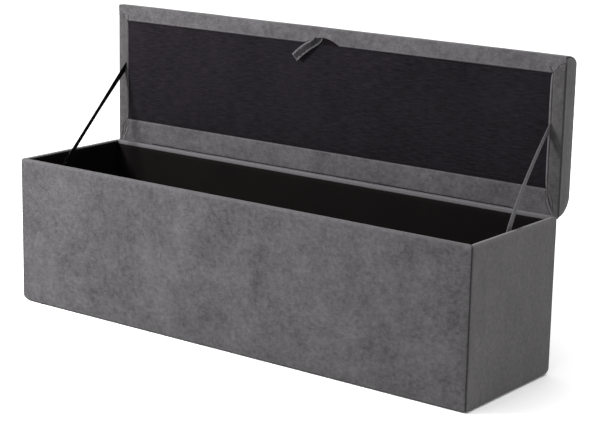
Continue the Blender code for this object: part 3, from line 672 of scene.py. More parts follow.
# ------------------------------------------------------- lining and underside
def cloth_panel(name, node, face_axis, face_sign, step, wave, seed, body="box", mat=None, tuck=0.0):
    """A thin cloth in the place of a flat CAD sheet, a little uneven on its open side."""
    low, high = span(node)
    axes = [k for k in range(3) if k != face_axis]
    a = np.linspace(low[axes[0]], high[axes[0]], max(3, int((high - low)[axes[0]] / step) + 1))
    b = np.linspace(low[axes[1]], high[axes[1]], max(3, int((high - low)[axes[1]] / step) + 1))
    ga, gb = np.meshgrid(a, b, indexing="ij")
    top = high[face_axis] if face_sign > 0 else low[face_axis]
    back = low[face_axis] if face_sign > 0 else high[face_axis]
    flat = np.zeros(ga.shape + (3,))
    flat[..., axes[0]], flat[..., axes[1]] = ga, gb
    ripple = fbm(flat, 4.5, 3, seed) * wave + fbm(flat, 17.0, 2, seed + 1) * wave * 0.45
    margin = np.minimum.reduce([ga - a[0], a[-1] - ga, gb - b[0], b[-1] - gb])
    ripple = np.abs(ripple) * smoothstep(0.0, 0.03, margin)
    outer = flat.copy()
    outer[..., face_axis] = top + face_sign * ripple
    inner = flat.copy()
    inner[..., face_axis] = back
    # painted shade towards the cloth's edges
    obj = shell(name, outer, inner, {"painted_shade": 0.6 * np.exp(-margin / 0.004)})
    dress(obj, mat or LINING)
    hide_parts(node)
    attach(obj, body)
    return obj


cloth_panel("front_lining_cloth", "front_lining", 1, 1, 0.012, 0.0006, 31)
cloth_panel("rear_lining_cloth", "rear_lining", 1, -1, 0.012, 0.0006, 32)
cloth_panel("left_lining_cloth", "left_lining", 0, 1, 0.012, 0.0004, 33)
cloth_panel("right_lining_cloth", "right_lining", 0, -1, 0.012, 0.0004, 34)
cloth_panel("base_lining_cloth", "base_lining", 2, 1, 0.012, 0.0009, 35)


def underside():
    low, high = span("underside_cloth")
    nx, ny = 150, 42
    x = np.linspace(low[0], high[0], nx)
    y = np.linspace(low[1], high[1], ny)
    gx, gy = np.meshgrid(x, y, indexing="ij")
    # the corners are folded in, clear of the cover's rounded ones
    r = 0.028
    cx = np.clip(np.abs(gx - (low[0] + high[0]) / 2) - ((high[0] - low[0]) / 2 - r), 0, None)
    cy = np.clip(np.abs(gy - (low[1] + high[1]) / 2) - ((high[1] - low[1]) / 2 - r), 0, None)
    both = (cx > 0) & (cy > 0)
    square = np.maximum(cx, cy)
    length = np.hypot(cx, cy)
    scale = np.where(both, square / np.maximum(length, 1e-9), 1.0)
    gx = np.where(both, gx - np.sign(gx) * cx * (1 - scale), gx)
    mid = (low[1] + high[1]) / 2
    gy = np.where(both, gy - np.sign(gy - mid) * cy * (1 - scale), gy)
    flat = np.stack([gx, gy, 0 * gx], -1)
    rise = np.abs(fbm(flat, 6.0, 3, 41)) * 0.0003
    outer = np.stack([gx, gy, low[2] + rise * 0.6], -1)
    inner = np.stack([gx, gy, high[2] + 0 * gx], -1)
    obj = shell("underside_cloth_sheet", outer, inner, {"painted_shade": 0 * gx})
    dress(obj, LINING)
    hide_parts("underside_cloth")
    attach(obj, "box")


underside()

def lid_chipboard():
    low, high = span("lid_board")
    outline = [(a * (float(high[0]) - 0.0045), b) for a, b in ((-1, low[2] + 0.0005), (1, low[2] + 0.0005), (1, high[2] - 0.0005), (-1, high[2] - 0.0005))]
    plate = prism("lid_chipboard", outline, lambda a, b, c: (a, c, float(b)), float(low[1]), float(high[1]), 0.0008)
    dress(plate, CHIP)
    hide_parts("lid_board")
    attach(plate, "lid")


lid_chipboard()

# ------------------------------------------------------------------- the lid
X_END = HALF - 0.0010
HANG = 0.0054             # how far the cover sags below the lid's hinge edge, beyond the hinge
LIP_R = 0.0030
PUFF = 0.0007
REAR_FLAT, REAR_V, FRONT_V, FRONT_W = 0.014, 0.045, 0.026, 0.012      # the end profile's edge, rear round and front round

# where each border meets the end's flap: (x, v) from the panel's corner outwards
REAR_JOIN = [(X_IN, B_REAR - 0.0010), (0.7155, 0.0460), (0.7200, 0.0320), (0.7275, 0.0180), (0.7350, 0.0070), (0.7400, 0.0022), (X_END, 0.0022)]
FRONT_JOIN = [(X_IN, B_FRONT), (0.7180, 0.3630), (0.7260, 0.3715), (0.7340, 0.3790), (0.7420, 0.3830), (X_END, 0.3850)]
CREASES = [  # on the underside, right-hand end: points (x, v), half width, depth (negative for a ridge), painted shade (negative for a painted highlight)
    ([(0.7105, 0.0600), (0.7109, 0.0459), (0.7115, 0.0305), (0.7173, 0.0184), (0.7251, 0.0067), (0.7328, -0.0030)], 0.0012, 0.0011, 0.8),
    ([(0.7173, 0.0456), (0.7209, 0.0319), (0.7273, 0.0187)], 0.0011, 0.0010, 0.85),
    ([(0.7190, 0.0600), (0.7227, 0.0516), (0.7290, 0.0409), (0.7311, 0.0283), (0.7330, 0.0150)], 0.0011, 0.0009, 0.7),
    ([(0.7345, 0.0185), (0.7441, -0.0007)], 0.0016, 0.0008, 0.35),
    ([(0.7145, 0.0400), (0.7180, 0.0260), (0.7240, 0.0140), (0.7300, 0.0060)], 0.0018, -0.0010, -0.6),
    ([(0.7205, 0.0500), (0.7250, 0.0370), (0.7290, 0.0240)], 0.0016, -0.0009, -0.5),
    ([(0.7360, 0.0300), (0.7390, 0.0120), (0.7420, 0.0030)], 0.0026, -0.0010, -0.4),
    ([(0.7124, 0.3500), (0.7118, 0.3580), (0.7090, 0.3650), (0.7053, 0.3718)], 0.0012, 0.0012, 0.85),
    ([(0.7255, 0.3668), (0.7300, 0.3772)], 0.0012, 0.0009, 0.5),
    ([(0.7346, 0.3802), (0.7455, 0.3856)], 0.0012, 0.0009, 0.5),
    ([(0.7470, 0.3835), (0.7490, 0.3850)], 0.0018, 0.0016, 1.0),
    ([(0.7135, 0.3717), (0.7189, 0.3598), (0.7180, 0.3447), (0.7163, 0.3194)], 0.0017, -0.0012, -0.6),
    ([(0.7472, 0.3803), (0.7437, 0.3675)], 0.0017, -0.0010, -0.6),
    ([(0.7330, 0.3740), (0.7420, 0.3800)], 0.0018, -0.0010, -0.5),
]


def crumple(x, v):
    """Small gathers in the cloth about the lid's corners."""
    a = np.abs(x)
    near_front = np.exp(-(((a - 0.7340) / 0.0150) ** 2) - (((v - 0.3730) / 0.0130) ** 2))
    near_rear = np.exp(-(((a - 0.7280) / 0.0130) ** 2) - (((v - 0.0280) / 0.0230) ** 2))
    cross = np.sin((a * 0.72 + v * 0.70) / 0.00085 + 3.5 * fbm(np.stack([x, v, 0 * x], -1), 60.0, 2, 90.0))
    down = np.sin((a * 0.93 + v * 0.36) / 0.00075 + 3.0 * fbm(np.stack([x, v, 0 * x], -1), 55.0, 2, 91.0))
    return -0.00060 * (near_front * cross + near_rear * down)


def join_of(x, points):
    return np.interp(np.abs(x), [p[0] for p in points], [p[1] for p in points])


def to_segments(x, v, points):
    best = np.full(np.shape(x), 1e9)
    for (ax, av), (bx, bv) in zip(points, points[1:]):
        dx, dv = bx - ax, bv - av
        t = np.clip(((x - ax) * dx + (v - av) * dv) / (dx * dx + dv * dv), 0, 1)
        best = np.minimum(best, np.hypot(x - ax - t * dx, v - av - t * dv))
    return best


def folds(x, v):
    """(depth of the folds at the underside's corners, their painted shade, their painted highlight)."""
    depth = np.zeros(np.shape(x))
    dark = np.zeros(np.shape(x))
    light = np.zeros(np.shape(x))
    side = np.sign(x)
    for points, width, deep, shade in CREASES:
        near = to_segments(np.abs(x) + 0.0010 * (side < 0) * np.cos(210 * v), v + 0.0020 * (side < 0) * np.sin(300 * v), points)
        depth += deep * np.exp(-((near / width) ** 2))
        dark = np.maximum(dark, max(shade, 0.0) * np.exp(-((near / (0.9 * width)) ** 2)))
        light = np.maximum(light, max(-shade, 0.0) * np.exp(-((near / width) ** 2)))
    return depth, dark, light


def wrap_line():
    """The seat cover's line round the lid: (v, w, zone, share). Zones: 0 rear border, 1 the rest, 2 front border."""
    line = []
    for a in np.linspace(0, np.pi / 2, 6):
        line.append((B_REAR - 0.0016 * (1 - np.cos(a)), 0.0017 - (0.0017 + PUFF) * np.sin(a), 0))
    for v in np.linspace(B_REAR - 0.0016, 0.0022, 30)[1:]:
        line.append((v, -PUFF, 0))
    for a in np.linspace(0, np.pi / 2, 6)[1:]:
        line.append((0.0022 - 0.0022 * np.sin(a), -PUFF + 0.0022 * (1 - np.cos(a)), 1))
    for w in np.linspace(-PUFF + 0.0022, REAR_FLAT, 5)[1:]:
        line.append((0.0, w, 1))
    for a in np.linspace(0, np.pi / 2, 19)[1:]:
        line.append((REAR_V - REAR_V * np.cos(a), REAR_FLAT + (LID_T - REAR_FLAT) * np.sin(a), 1))
    for v in np.linspace(REAR_V, LID_D - FRONT_V, 44)[1:]:
        line.append((v, LID_T, 1))
    for a in np.linspace(0, np.pi / 2, 19)[1:]:
        line.append((LID_D - FRONT_V + FRONT_V * np.sin(a), FRONT_W + (LID_T - FRONT_W) * np.cos(a), 1))
    for w in np.linspace(FRONT_W, 0.0038 - PUFF, 6)[1:]:
        line.append((LID_D, w, 1))
    for a in np.linspace(0, np.pi / 2, 8)[1:]:
        line.append((LID_D - 0.0038 + 0.0038 * np.cos(a), 0.0038 - PUFF - 0.0038 * np.sin(a), 1))
    for v in np.linspace(LID_D - 0.0038, B_FRONT + 0.0016, 20)[1:]:
        line.append((v, -PUFF, 2))
    for a in np.linspace(0, np.pi / 2, 6)[1:]:
        line.append((B_FRONT + 0.0016 - 0.0016 * np.sin(a), -PUFF + (0.0017 + PUFF) * (1 - np.cos(a)), 2))
    return np.array(line)


def wrap_stations():
    close = X_END - np.array((0.0, 0.0002, 0.0006, 0.0012, 0.0020, 0.0030))
    dense = np.arange(X_IN - 0.030, X_END - 0.0035, 0.00125)
    middle = np.linspace(-(X_IN - 0.034), X_IN - 0.034, 178)
    middle = np.concatenate([middle, np.arange(0.610, 0.628, 0.0015), -np.arange(0.610, 0.628, 0.0015)])
    middle = np.unique(np.round(np.concatenate([middle[(middle < ARCH[0] - 0.01) | (middle > ARCH[1] + 0.01)], np.arange(ARCH[0] - 0.008, ARCH[1] + 0.009, 0.0022)]), 6))
    right = np.concatenate([dense, close[::-1]])
    return np.concatenate([-right[::-1], middle, right])


ARCH = (-0.061, 0.056)    # where along X the front border arches over the pull tab


def tab_arch(x):
    f = np.clip((x - ARCH[0]) / (ARCH[1] - ARCH[0]), 0, 1)
    return np.sin(np.pi * f**1.30) ** 0.85


def seat_surface():
    line = wrap_line()
    xs = wrap_stations()
    x = xs[:, None] + 0 * line[None, :, 0]
    v0, w0, zone = (line[None, :, k] + 0 * x for k in range(3))
    # the mitre: near the ends each border narrows to nothing at the lid's corner
    m = np.clip((X_END - np.abs(x)) / (X_END - X_IN), 0, 1)
    rear_join = np.where(np.abs(x) < X_IN, B_REAR, join_of(x, REAR_JOIN))
    front_join = np.where(np.abs(x) < X_IN, B_FRONT, join_of(x, FRONT_JOIN))
    rear_to = 0.0022 + (v0 - 0.0022) * (rear_join - 0.0022) / (B_REAR - 0.0022)
    front_to = LID_D - 0.0038 - (LID_D - 0.0038 - v0) * (LID_D - 0.0038 - front_join) / (LID_D - 0.0038 - B_FRONT)
    v = np.where(zone == 0, rear_to, np.where(zone == 2, front_to, v0))
    w = w0.copy()
    # normals of the line itself
    dv = np.gradient(line[:, 0])
    dw = np.gradient(line[:, 1])
    size = np.maximum(np.hypot(dv, dw), 1e-9)
    nv, nw = (dw / size)[None, :], (-dv / size)[None, :]
    if nw[0, len(line) // 2] < 0:
        nv, nw = -nv, -nw
    # which way is out: away from the profile's middle
    out = np.sign(nv * (line[None, :, 0] - LID_D / 2) / LID_D + nw * (line[None, :, 1] - LID_T / 2) / LID_T * 3)
    nv, nw = nv * out, nw * out
    flat = np.stack([x, v0, 5 * w0], -1)
    lip = LIP_R - np.sqrt(np.clip(LIP_R**2 - np.clip(LIP_R - (X_END - np.abs(x)), 0, LIP_R) ** 2, 0, None))
    on_seat = smoothstep(0.006, 0.030, w0) * (zone == 1)
    across = np.clip(np.sin(np.pi * np.clip((v0 + 0.004) / (LID_D + 0.008), 0, 1)), 0, 1) ** 0.55
    along = 1 - np.abs(x / HALF) ** 7
    crown = 0.0048 * across * along * on_seat
    waves = (0.00055 * fbm(flat, 4.0, 3, 7.0) + 0.00022 * fbm(flat, 15.0, 2, 8.0)) * np.where(zone == 1, 1.0, 0.45)
    gather = 0.00035 * np.sin(2 * np.pi * v0 / 0.027 + 2.5 * fbm(flat, 8.0, 1, 9.0)) * np.exp(-(X_END - np.abs(x)) / 0.024) * on_seat
    puff = np.where(zone == 0, np.sin(np.pi * np.clip(v0 / B_REAR, 0, 1)), np.where(zone == 2, np.sin(np.pi * np.clip((LID_D - v0) / (LID_D - B_FRONT), 0, 1)), 0.0))
    ruck = np.where(zone != 1, crumple(x, v), 0.0)
    border = (0.0006 * puff + 0.00025 * fbm(np.stack([x * 0.5, v0, 0 * x], -1), 26.0, 2, 10.0) * puff) * m
    deep, dark, lit = folds(x, v)
    deep = np.where(zone != 1, deep, 0.0)
    dark = np.where(zone != 1, dark, 0.0)
    lit = np.where(zone != 1, lit, 0.0)
    push = crown + waves * smoothstep(0, 0.02, X_END - np.abs(x)) + gather + border - lip - deep - ruck
    v = v + nv * push
    w = w + nw * push
    # beyond the hinge the cover's lower edge hangs a little, over the gap to the rim
    hang = HANG * smoothstep(0.6150, 0.6215, np.abs(x)) * np.exp(-(((w0 - 0.0006) / 0.0026) ** 2)) * smoothstep(0.016, 0.001, v0) * (w0 < 0.02)
    hang = hang * (1 + 0.18 * np.sin(x / 0.011) + 0.10 * np.sin(x / 0.0043))
    v = v - hang
    w = w - 0.0006 * smoothstep(0.6150, 0.6215, np.abs(x)) * np.exp(-((v0 / 0.0035) ** 2)) * (zone != 2) * smoothstep(0.006, 0.0, w0)
    w = np.where((v < 0.024) & (w0 < 0.006) & (zone != 2), np.maximum(w, -0.0013), w)  # flat where it meets the rim when shut
    # the pull tab pushes the front border's edge up and off the panel
    lifted = tab_arch(x) * (zone == 2) * np.clip(1 - (v0 - B_FRONT) / 0.034, 0, 1) ** 1.3
    v = v + 0.0185 * lifted * np.clip(1 - np.clip(w0, 0, 1) / 0.0017 * 0.0, 0, 1)
    w = w - 0.0068 * lifted
    # painted shade along the borders' inner edges and mitres, at the seat's ends and along the hinge edge; painted
    # highlight just inside the borders' inner edges, near the seat's ends and on fold ridges
    inner_gap = np.where(zone == 0, B_REAR - v0, np.where(zone == 2, v0 - B_FRONT, 1.0))
    fade = np.where(zone == 2, 0.06, 0.20) + 0.55 * np.exp(-(((1 - m) / 0.22) ** 2))
    dark = np.maximum(dark, 0.55 * np.exp(-((inner_gap / 0.0007) ** 2)) * (np.abs(x) < X_IN) + fade * np.exp(-((inner_gap / 0.0016) ** 2)) * (np.abs(x) >= X_IN))
    dark = np.maximum(dark, 0.85 * np.exp(-(((X_END - np.abs(x)) / 0.0026) ** 2)) * (zone == 1))
    dark = np.maximum(dark, 0.35 * np.exp(-((v0 / 0.0035) ** 2)) * (zone != 2) * (w0 < 0.006))
    light = 0.40 * np.exp(-(((inner_gap - 0.0022) / 0.0012) ** 2)) * (np.abs(x) < X_IN)
    light = np.maximum(light, 0.25 * np.exp(-(((X_END - np.abs(x)) - 0.0035) / 0.0016) ** 2) * (zone == 1))
    light = np.maximum(light, lit)
    return x, v, w, nv + 0 * x, nw + 0 * x, dark, light, zone, v0


def build_wrap():
    x, v, w, nv, nw, dark, light, zone, v0 = seat_surface()
    outer = lid(x, v, w)
    inner = lid(x, v - nv * COVER, w - nw * COVER)
    obj = shell("seat_cover_wrap", outer, inner, {"painted_shade": np.clip(dark, 0, 1), "edge": np.clip(light, 0, 1)})
    dress(obj, SUEDE)
    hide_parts("seat_cover")
    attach(obj, "lid")
    return obj


build_wrap()


def end_outline(inset):
    """The lid's end profile, inset: rear edge, rear round, seat, front round, front edge, then back along the underside."""
    top = LID_T - inset
    points = [(inset, w) for w in np.linspace(0.0045, REAR_FLAT, 5)]
    points += [
        (REAR_V - (REAR_V - inset) * np.cos(a), REAR_FLAT + (top - REAR_FLAT) * np.sin(a)) for a in np.linspace(0, np.pi / 2, 22)[1:]
    ]
    points += [(v, top) for v in np.linspace(REAR_V, LID_D - FRONT_V, 40)[1:]]
    points += [
        (LID_D - FRONT_V + (FRONT_V - inset) * np.sin(a), FRONT_W + (top - FRONT_W) * np.cos(a)) for a in np.linspace(0, np.pi / 2, 20)[1:]
    ]
    points += [(LID_D - inset, w) for w in np.linspace(FRONT_W, 0.0045, 4)[1:]]
    points += [(LID_D - inset - 0.0022 * np.sin(a), 0.0045 - 0.0022 * (1 - np.cos(a))) for a in np.linspace(0, np.pi / 2, 5)[1:]]
    points += [(v, 0.0023) for v in np.linspace(LID_D - inset - 0.0022, inset + 0.0022, 52)[1:]]
    points += [(inset + 0.0022 - 0.0022 * np.sin(a), 0.0045 - 0.0022 * np.cos(a)) for a in np.linspace(0, np.pi / 2, 5)[1:-1]]
    return np.array(points)


def lid_foam():
    """The foam, redrawn inside the rounder cover."""
    low, high = span("seat_foam")
    under = float(low[1]) - YL
    outline = [(v, w) for v, w in end_outline(0.0040) if w > under + 0.0005]
    outline = [(outline[0][0], under)] + outline + [(outline[-1][0], under)]
    block = prism("seat_foam_block", outline, lambda v, w, x: tuple(float(c) for c in lid(x, v, w)), float(low[0]) + 0.0045, float(high[0]) - 0.0045)
    dress(block, FOAM)
    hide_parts("seat_foam")
    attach(block, "lid")


lid_foam()


def gusset(side, sign):
    edge = end_outline(0.0026)
    centre = np.stack([np.clip(edge[:, 0], 0.028, LID_D - 0.026), 0 * edge[:, 1] + 0.0265], -1)
    shares = np.array((0.0, 0.006, 0.025, 0.055, 0.10, 0.16, 0.24, 0.34, 0.46, 0.60, 0.74, 0.86))
    rings, dark, light = [], [], []
    reach = np.hypot(*(centre - edge).T)
    for f in shares:
        p = edge + (centre - edge) * f
        d = reach * f
        flat = np.stack([0 * p[:, 0], p[:, 0], p[:, 1]], -1)
        rise = 0.0030 * ease(d, 0.0040) + 0.0011 * smoothstep(0.0, 0.85, f) + 0.00045 * fbm(flat, 14.0, 3, 12 + sign) * smoothstep(0, 0.3, f)
        rise = rise + 0.00035 * np.sin(p[:, 0] / 0.0105 + 2 * fbm(flat, 30, 1, 5)) * np.exp(-d / 0.006) * smoothstep(0, 0.004, d)
        rings.append(lid(sign * (HALF - 0.0036 + rise), p[:, 0], p[:, 1]))
        # painted shade at the gusset's rim, a painted highlight a few millimetres in
        dark.append(np.clip(0.95 * np.exp(-((d / 0.0022) ** 2)), 0, 1))
        light.append(0.30 * np.exp(-(((d - 0.0055) / 0.0020) ** 2)))
    back = lid(sign * (HALF - 0.0040) + 0 * edge[:, 0], edge[:, 0], edge[:, 1])
    rings = [back] + rings
    dark = [dark[0]] + dark
    light = [light[0]] + light
    obj = loft(f"{side}_gusset", np.array(rings), {"painted_shade": np.array(dark), "edge": np.array(light)})
    dress(obj, SUEDE_END_LIT)
    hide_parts(f"{side}_end_cover")
    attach(obj, "lid")
    return obj


def band(side, sign):
    """The gusset's flap on the underside, folded at both ends to the lid's corners, its outer edge turned up the lid's end."""
    x_from, x_to = X_IN - 0.0006, HALF - 0.0014
    u = edge_steps(x_to - x_from, 0.0034, 0.0013)
    s = edge_steps(1.0, 0.006, 0.0042)
    ux = x_from + u
    low = join_of(ux, REAR_JOIN) - 0.0012
    high = join_of(ux, FRONT_JOIN) + 0.0012
    gx = ux[:, None] + 0 * s[None, :]
    gv = low[:, None] + (high - low)[:, None] * s[None, :]
    du_in = u[:, None]
    du_out = (u[-1] - u)[:, None]
    ds = np.minimum((gv - low[:, None]) * 0.7, (high[:, None] - gv) * 0.7)
    flat = np.stack([gx * sign, gv, 0 * gx], -1)
    puff = 0.0010 * np.sin(np.pi * u / u[-1])[:, None] * smoothstep(0, 0.03, ds)
    wave = (0.00050 * fbm(flat, 11.0, 3, 20 + sign) + 0.00025 * fbm(flat, 45.0, 2, 21 + sign)) * smoothstep(0, 0.008, du_in) * smoothstep(0, 0.008, du_out) * smoothstep(0, 0.008, ds)
    deep, dark, light = folds(gx * sign, gv)
    w = -PUFF + 0.0004 - puff - wave + deep * smoothstep(0, 0.002, np.minimum(du_in, ds))
    w = w + crumple(gx * sign, gv) + 0.0017 * (1 - ease(du_in, 0.0022)) + 0.0062 * (1 - ease(du_out, 0.0034)) + 0.0012 * (1 - ease(ds, 0.0016))
    # painted shade along the flap's ends and sides, and a painted highlight just in from its inner end
    painted_edge_shade = np.maximum(0.97 * np.exp(-((du_in / 0.0022) ** 2)), 0.75 * np.exp(-((du_out / 0.0018) ** 2)))
    fade = np.where(gv > 0.2, 0.05, 0.18) + 0.45 * np.exp(-(((gx - X_IN) / 0.008) ** 2))
    painted_edge_shade = np.maximum(painted_edge_shade, fade * np.exp(-((ds / 0.0010) ** 2)))
    light = np.maximum(light, 0.30 * np.exp(-(((du_in - 0.0034) / 0.0014) ** 2)))
    outer = lid(sign * gx, gv, w)
    inner = lid(sign * np.minimum(gx, HALF - 0.0032), gv, np.maximum(w, 0.0020) + 0.0008)
    obj = shell(f"{side}_flap", outer, inner, {"painted_shade": np.clip(np.maximum(dark, painted_edge_shade), 0, 1), "edge": np.clip(light, 0, 1)})
    dress(obj, SUEDE_FLAP_SHADED)
    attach(obj, "lid")
    return obj


def welt(side, sign):
    """The folded edge that stands up between the flap and the panel."""
    n = 150
    s = np.linspace(0, 1, n)
    v = B_REAR + 0.0010 + (B_FRONT - B_REAR - 0.0020) * s
    wob = 0.00055 * fbm(np.stack([0 * v, v, 0 * v], -1), 12.0, 2, 50 + sign)
    end = np.minimum(s, 1 - s) * (B_FRONT - B_REAR)
    grow = 0.35 + 0.65 * ease(end, 0.012)
    if sign > 0:
        middle, half_w, tall = X_IN - 0.0038, 0.0031, 0.0026
    else:
        middle, half_w, tall = X_IN - 0.0012, 0.0015, 0.0021
    bend = 0.0026 * np.exp(-end / 0.010)
    rings = []
    for i in range(n):
        a = np.linspace(0, 2 * np.pi, 17)[:-1]
        cx = middle + wob[i] + bend[i]
        px = cx + half_w * grow[i] * np.cos(a) * np.where(np.sin(a) > 0, 1, 1)
        pw = 0.0012 - np.clip(np.sin(a), -0.25, 1) * tall * grow[i]
        rings.append(lid(sign * px, v[i] + 0 * px, pw))
    rings = np.array(rings)
    a = np.linspace(0, 2 * np.pi, 17)[:-1]
    # painted highlight on top of the fold, painted shade under it
    light = np.clip(np.sin(a), 0, 1) ** 2 * 0.55
    obj = loft(f"{side}_fold", rings, {"painted_shade": np.tile(np.clip(-np.sin(a), 0, 1) * 0.6, (n, 1)), "edge": np.tile(light, (n, 1))})
    dress(obj, SUEDE)
    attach(obj, "lid")
    return obj


for side, sign in (("left", -1), ("right", 1)):
    gusset(side, sign)
    band(side, sign)
    welt(side, sign)


def panel():
    u = edge_steps(2 * (X_IN - 0.0003), 0.0010, 0.0110, 3)
    s = edge_steps(B_FRONT - B_REAR - 0.0004, 0.0010, 0.0090, 3)
    gx = -(X_IN - 0.0003) + u[:, None] + 0 * s[None, :]
    gv = B_REAR + 0.0002 + s[None, :] + 0 * u[:, None]
    du = np.minimum(u, u[-1] - u)[:, None]
    ds = np.minimum(s, s[-1] - s)[None, :]
    d = np.minimum(du, ds)
    flat = np.stack([gx, gv, 0 * gx], -1)
    bag = 0.0004 * fbm(flat, 3.2, 3, 60) + 0.00018 * fbm(flat * np.array((0.35, 1, 1)), 15.0, 2, 61)
    w = float(PANEL_LOW[1]) - YL + 0.0005 - 0.0005 * ease(d, 0.0010) - bag * smoothstep(0, 0.05, d) - 0.0004 * smoothstep(0, 0.12, d)
    outer = lid(gx, gv, w)
    inner = lid(gx, gv, 0.0019 + 0 * w)
    # painted shade along the panel's edge, in its recess
    obj = shell("underside_panel", outer, inner, {"painted_shade": 0.7 * np.exp(-d / 0.0015)})
    dress(obj, PANEL)
    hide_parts("lid_panel")
    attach(obj, "lid")


panel()


def tab_hollow():
    """The dark lining cloth over the board, seen under the arched border, with painted shade over all of it."""
    x = np.linspace(ARCH[0] - 0.006, ARCH[1] + 0.006, 60)
    v = np.linspace(B_FRONT - 0.0012, B_FRONT + 0.0250, 14)
    gx, gv = np.meshgrid(x, v, indexing="ij")
    w = 0.0010 + 0.0002 * fbm(np.stack([gx, gv, 0 * gx], -1), 40.0, 2, 77)
    obj = shell("tab_hollow_cloth", lid(gx, gv, w), lid(gx, gv, 0.0019 + 0 * w), {"painted_shade": 0.6 + 0 * gx})
    dress(obj, LINING)
    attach(obj, "lid")


tab_hollow()


# ------------------------------------------------------------------- ribbons
def catmull(points, steps):
    run = [2 * np.array(points[0]) - np.array(points[1])] + [np.array(p, float) for p in points]
    run.append(2 * run[-1] - run[-2])
    curve = []
    for a, b, c, d in zip(run, run[1:], run[2:], run[3:]):
        for i in range(steps):
            t = i / steps
            curve.append(0.5 * (2 * b + (c - a) * t + (2 * a - 5 * b + 4 * c - d) * t**2 + (3 * b - a - 3 * c + d) * t**3))
    return np.array(curve + [run[-2]])


def unit(v):
    return v / np.maximum(np.linalg.norm(v, axis=-1, keepdims=True), 1e-12)


def ribbon(name, path, across, half, thick, hem=0.0, groove=0.0, ends=(False, False), fold_edge=True):
    """A strip along a path. across is its direction of width at each point. Its first face is the one the normal leaves."""
    tangent = unit(np.gradient(path, axis=0))
    across = unit(across - tangent * np.sum(across * tangent, -1, keepdims=True))
    normal = np.cross(across, tangent)
    k = np.sin(np.linspace(-np.pi / 2, np.pi / 2, 19))
    rings, dark, light = [], [], []
    total = np.concatenate([[0], np.cumsum(np.linalg.norm(np.diff(path, axis=0), axis=1))])
    for i, (p, a, n) in enumerate(zip(path, across, normal)):
        h = half * np.ones_like(k)
        width = half
        for at_end, d in ((ends[0], total[i]), (ends[1], total[-1] - total[i])):
            if at_end and d < half:
                width = min(width, np.sqrt(max(half**2 - (half - d) ** 2, 1e-8)))
        body = np.sqrt(np.clip(1 - np.abs(k) ** 8, 0.02, 1))
        raised = 1 + hem * np.exp(-(((np.abs(k) - 0.86) / 0.10) ** 2)) - groove * np.exp(-((k / 0.07) ** 2))
        top = thick / 2 * body * raised
        front = p + np.outer(k * width, a) + np.outer(top, n)
        rear = p + np.outer(k[::-1] * width, a) - np.outer(top[::-1], n)
        rings.append(np.concatenate([front, rear[1:-1]]))
        # painted shade down the middle groove and along the hems, painted highlight on the edges
        line = groove * 1.4 * np.exp(-((k / 0.07) ** 2)) + 0.5 * np.exp(-(((np.abs(k) - 0.70) / 0.05) ** 2)) * (hem > 0)
        painted_highlight = np.exp(-(((np.abs(k) - 0.93) / 0.09) ** 2))
        dark.append(np.concatenate([line, line[::-1][1:-1]]))
        light.append(np.concatenate([painted_highlight, painted_highlight[::-1][1:-1]]))
    obj = loft(name, np.array(rings), {"painted_shade": np.clip(dark, 0, 1), "edge": np.clip(light, 0, 1)})
    return obj, tangent, across, normal, total


def stitches(name, points, normals, mat, length=0.0026, gap=0.0009, radius=0.00026):
    """Separate threads lying in a row along a line of points."""
    total = np.concatenate([[0], np.cumsum(np.linalg.norm(np.diff(points, axis=0), axis=1))])
    verts, faces = [], []
    at = length
    while at < total[-1] - length:
        ends = [np.array([np.interp(at + o, total, points[:, k]) for k in range(3)]) for o in (-length / 2, 0, length / 2)]
        up = unit(np.array([np.interp(at, total, normals[:, k]) for k in range(3)]))
        t = unit(ends[2] - ends[0])
        side = np.cross(t, up)
        base = len(verts)
        stack = (-0.5, -0.36, 0.0, 0.36, 0.5)
        for f in stack:
            centre = ends[1] + t * f * length + up * radius * (0.55 - 1.5 * (2 * abs(f)) ** 3)
            r = radius * (1 - (2 * abs(f)) ** 4 * 0.75)
            for a in np.linspace(0, 2 * np.pi, 7)[:-1]:
                verts.append(centre + r * (np.cos(a) * side + np.sin(a) * up))
        for i in range(len(stack) - 1):
            for j in range(6):
                k = (j + 1) % 6
                faces.append((base + i * 6 + j, base + i * 6 + k, base + (i + 1) * 6 + k, base + (i + 1) * 6 + j))
        faces.append(tuple(base + j for j in range(6))[::-1])
        last = base + (len(stack) - 1) * 6
        faces.append(tuple(last + j for j in range(6)))
        at += length + gap
    obj = mesh_object(name, verts, faces)
    dress(obj, mat)
    return obj


# ------------------------------------------------------------------ the stays
JOINTS = {j["name"]: j for j in frame["joints"]}


LID_END = {"right": 0.7100, "left": 0.7200}   # where each strap leaves the lid
HANG_SHAPE = {"right": 2.6, "left": 0.7}       # how late it swings across to the wall
TWIST = {  # degrees, at shares of the way from the lid to the wall
    "right": ((0.0, 0.12, 0.45, 0.80, 1.0), (-15.0, -14.0, -10.0, -3.0, 3.0)),
    "left": ((0.0, 0.12, 0.45, 0.80, 1.0), (9.0, 15.0, 24.0, 22.0, 14.0)),
}


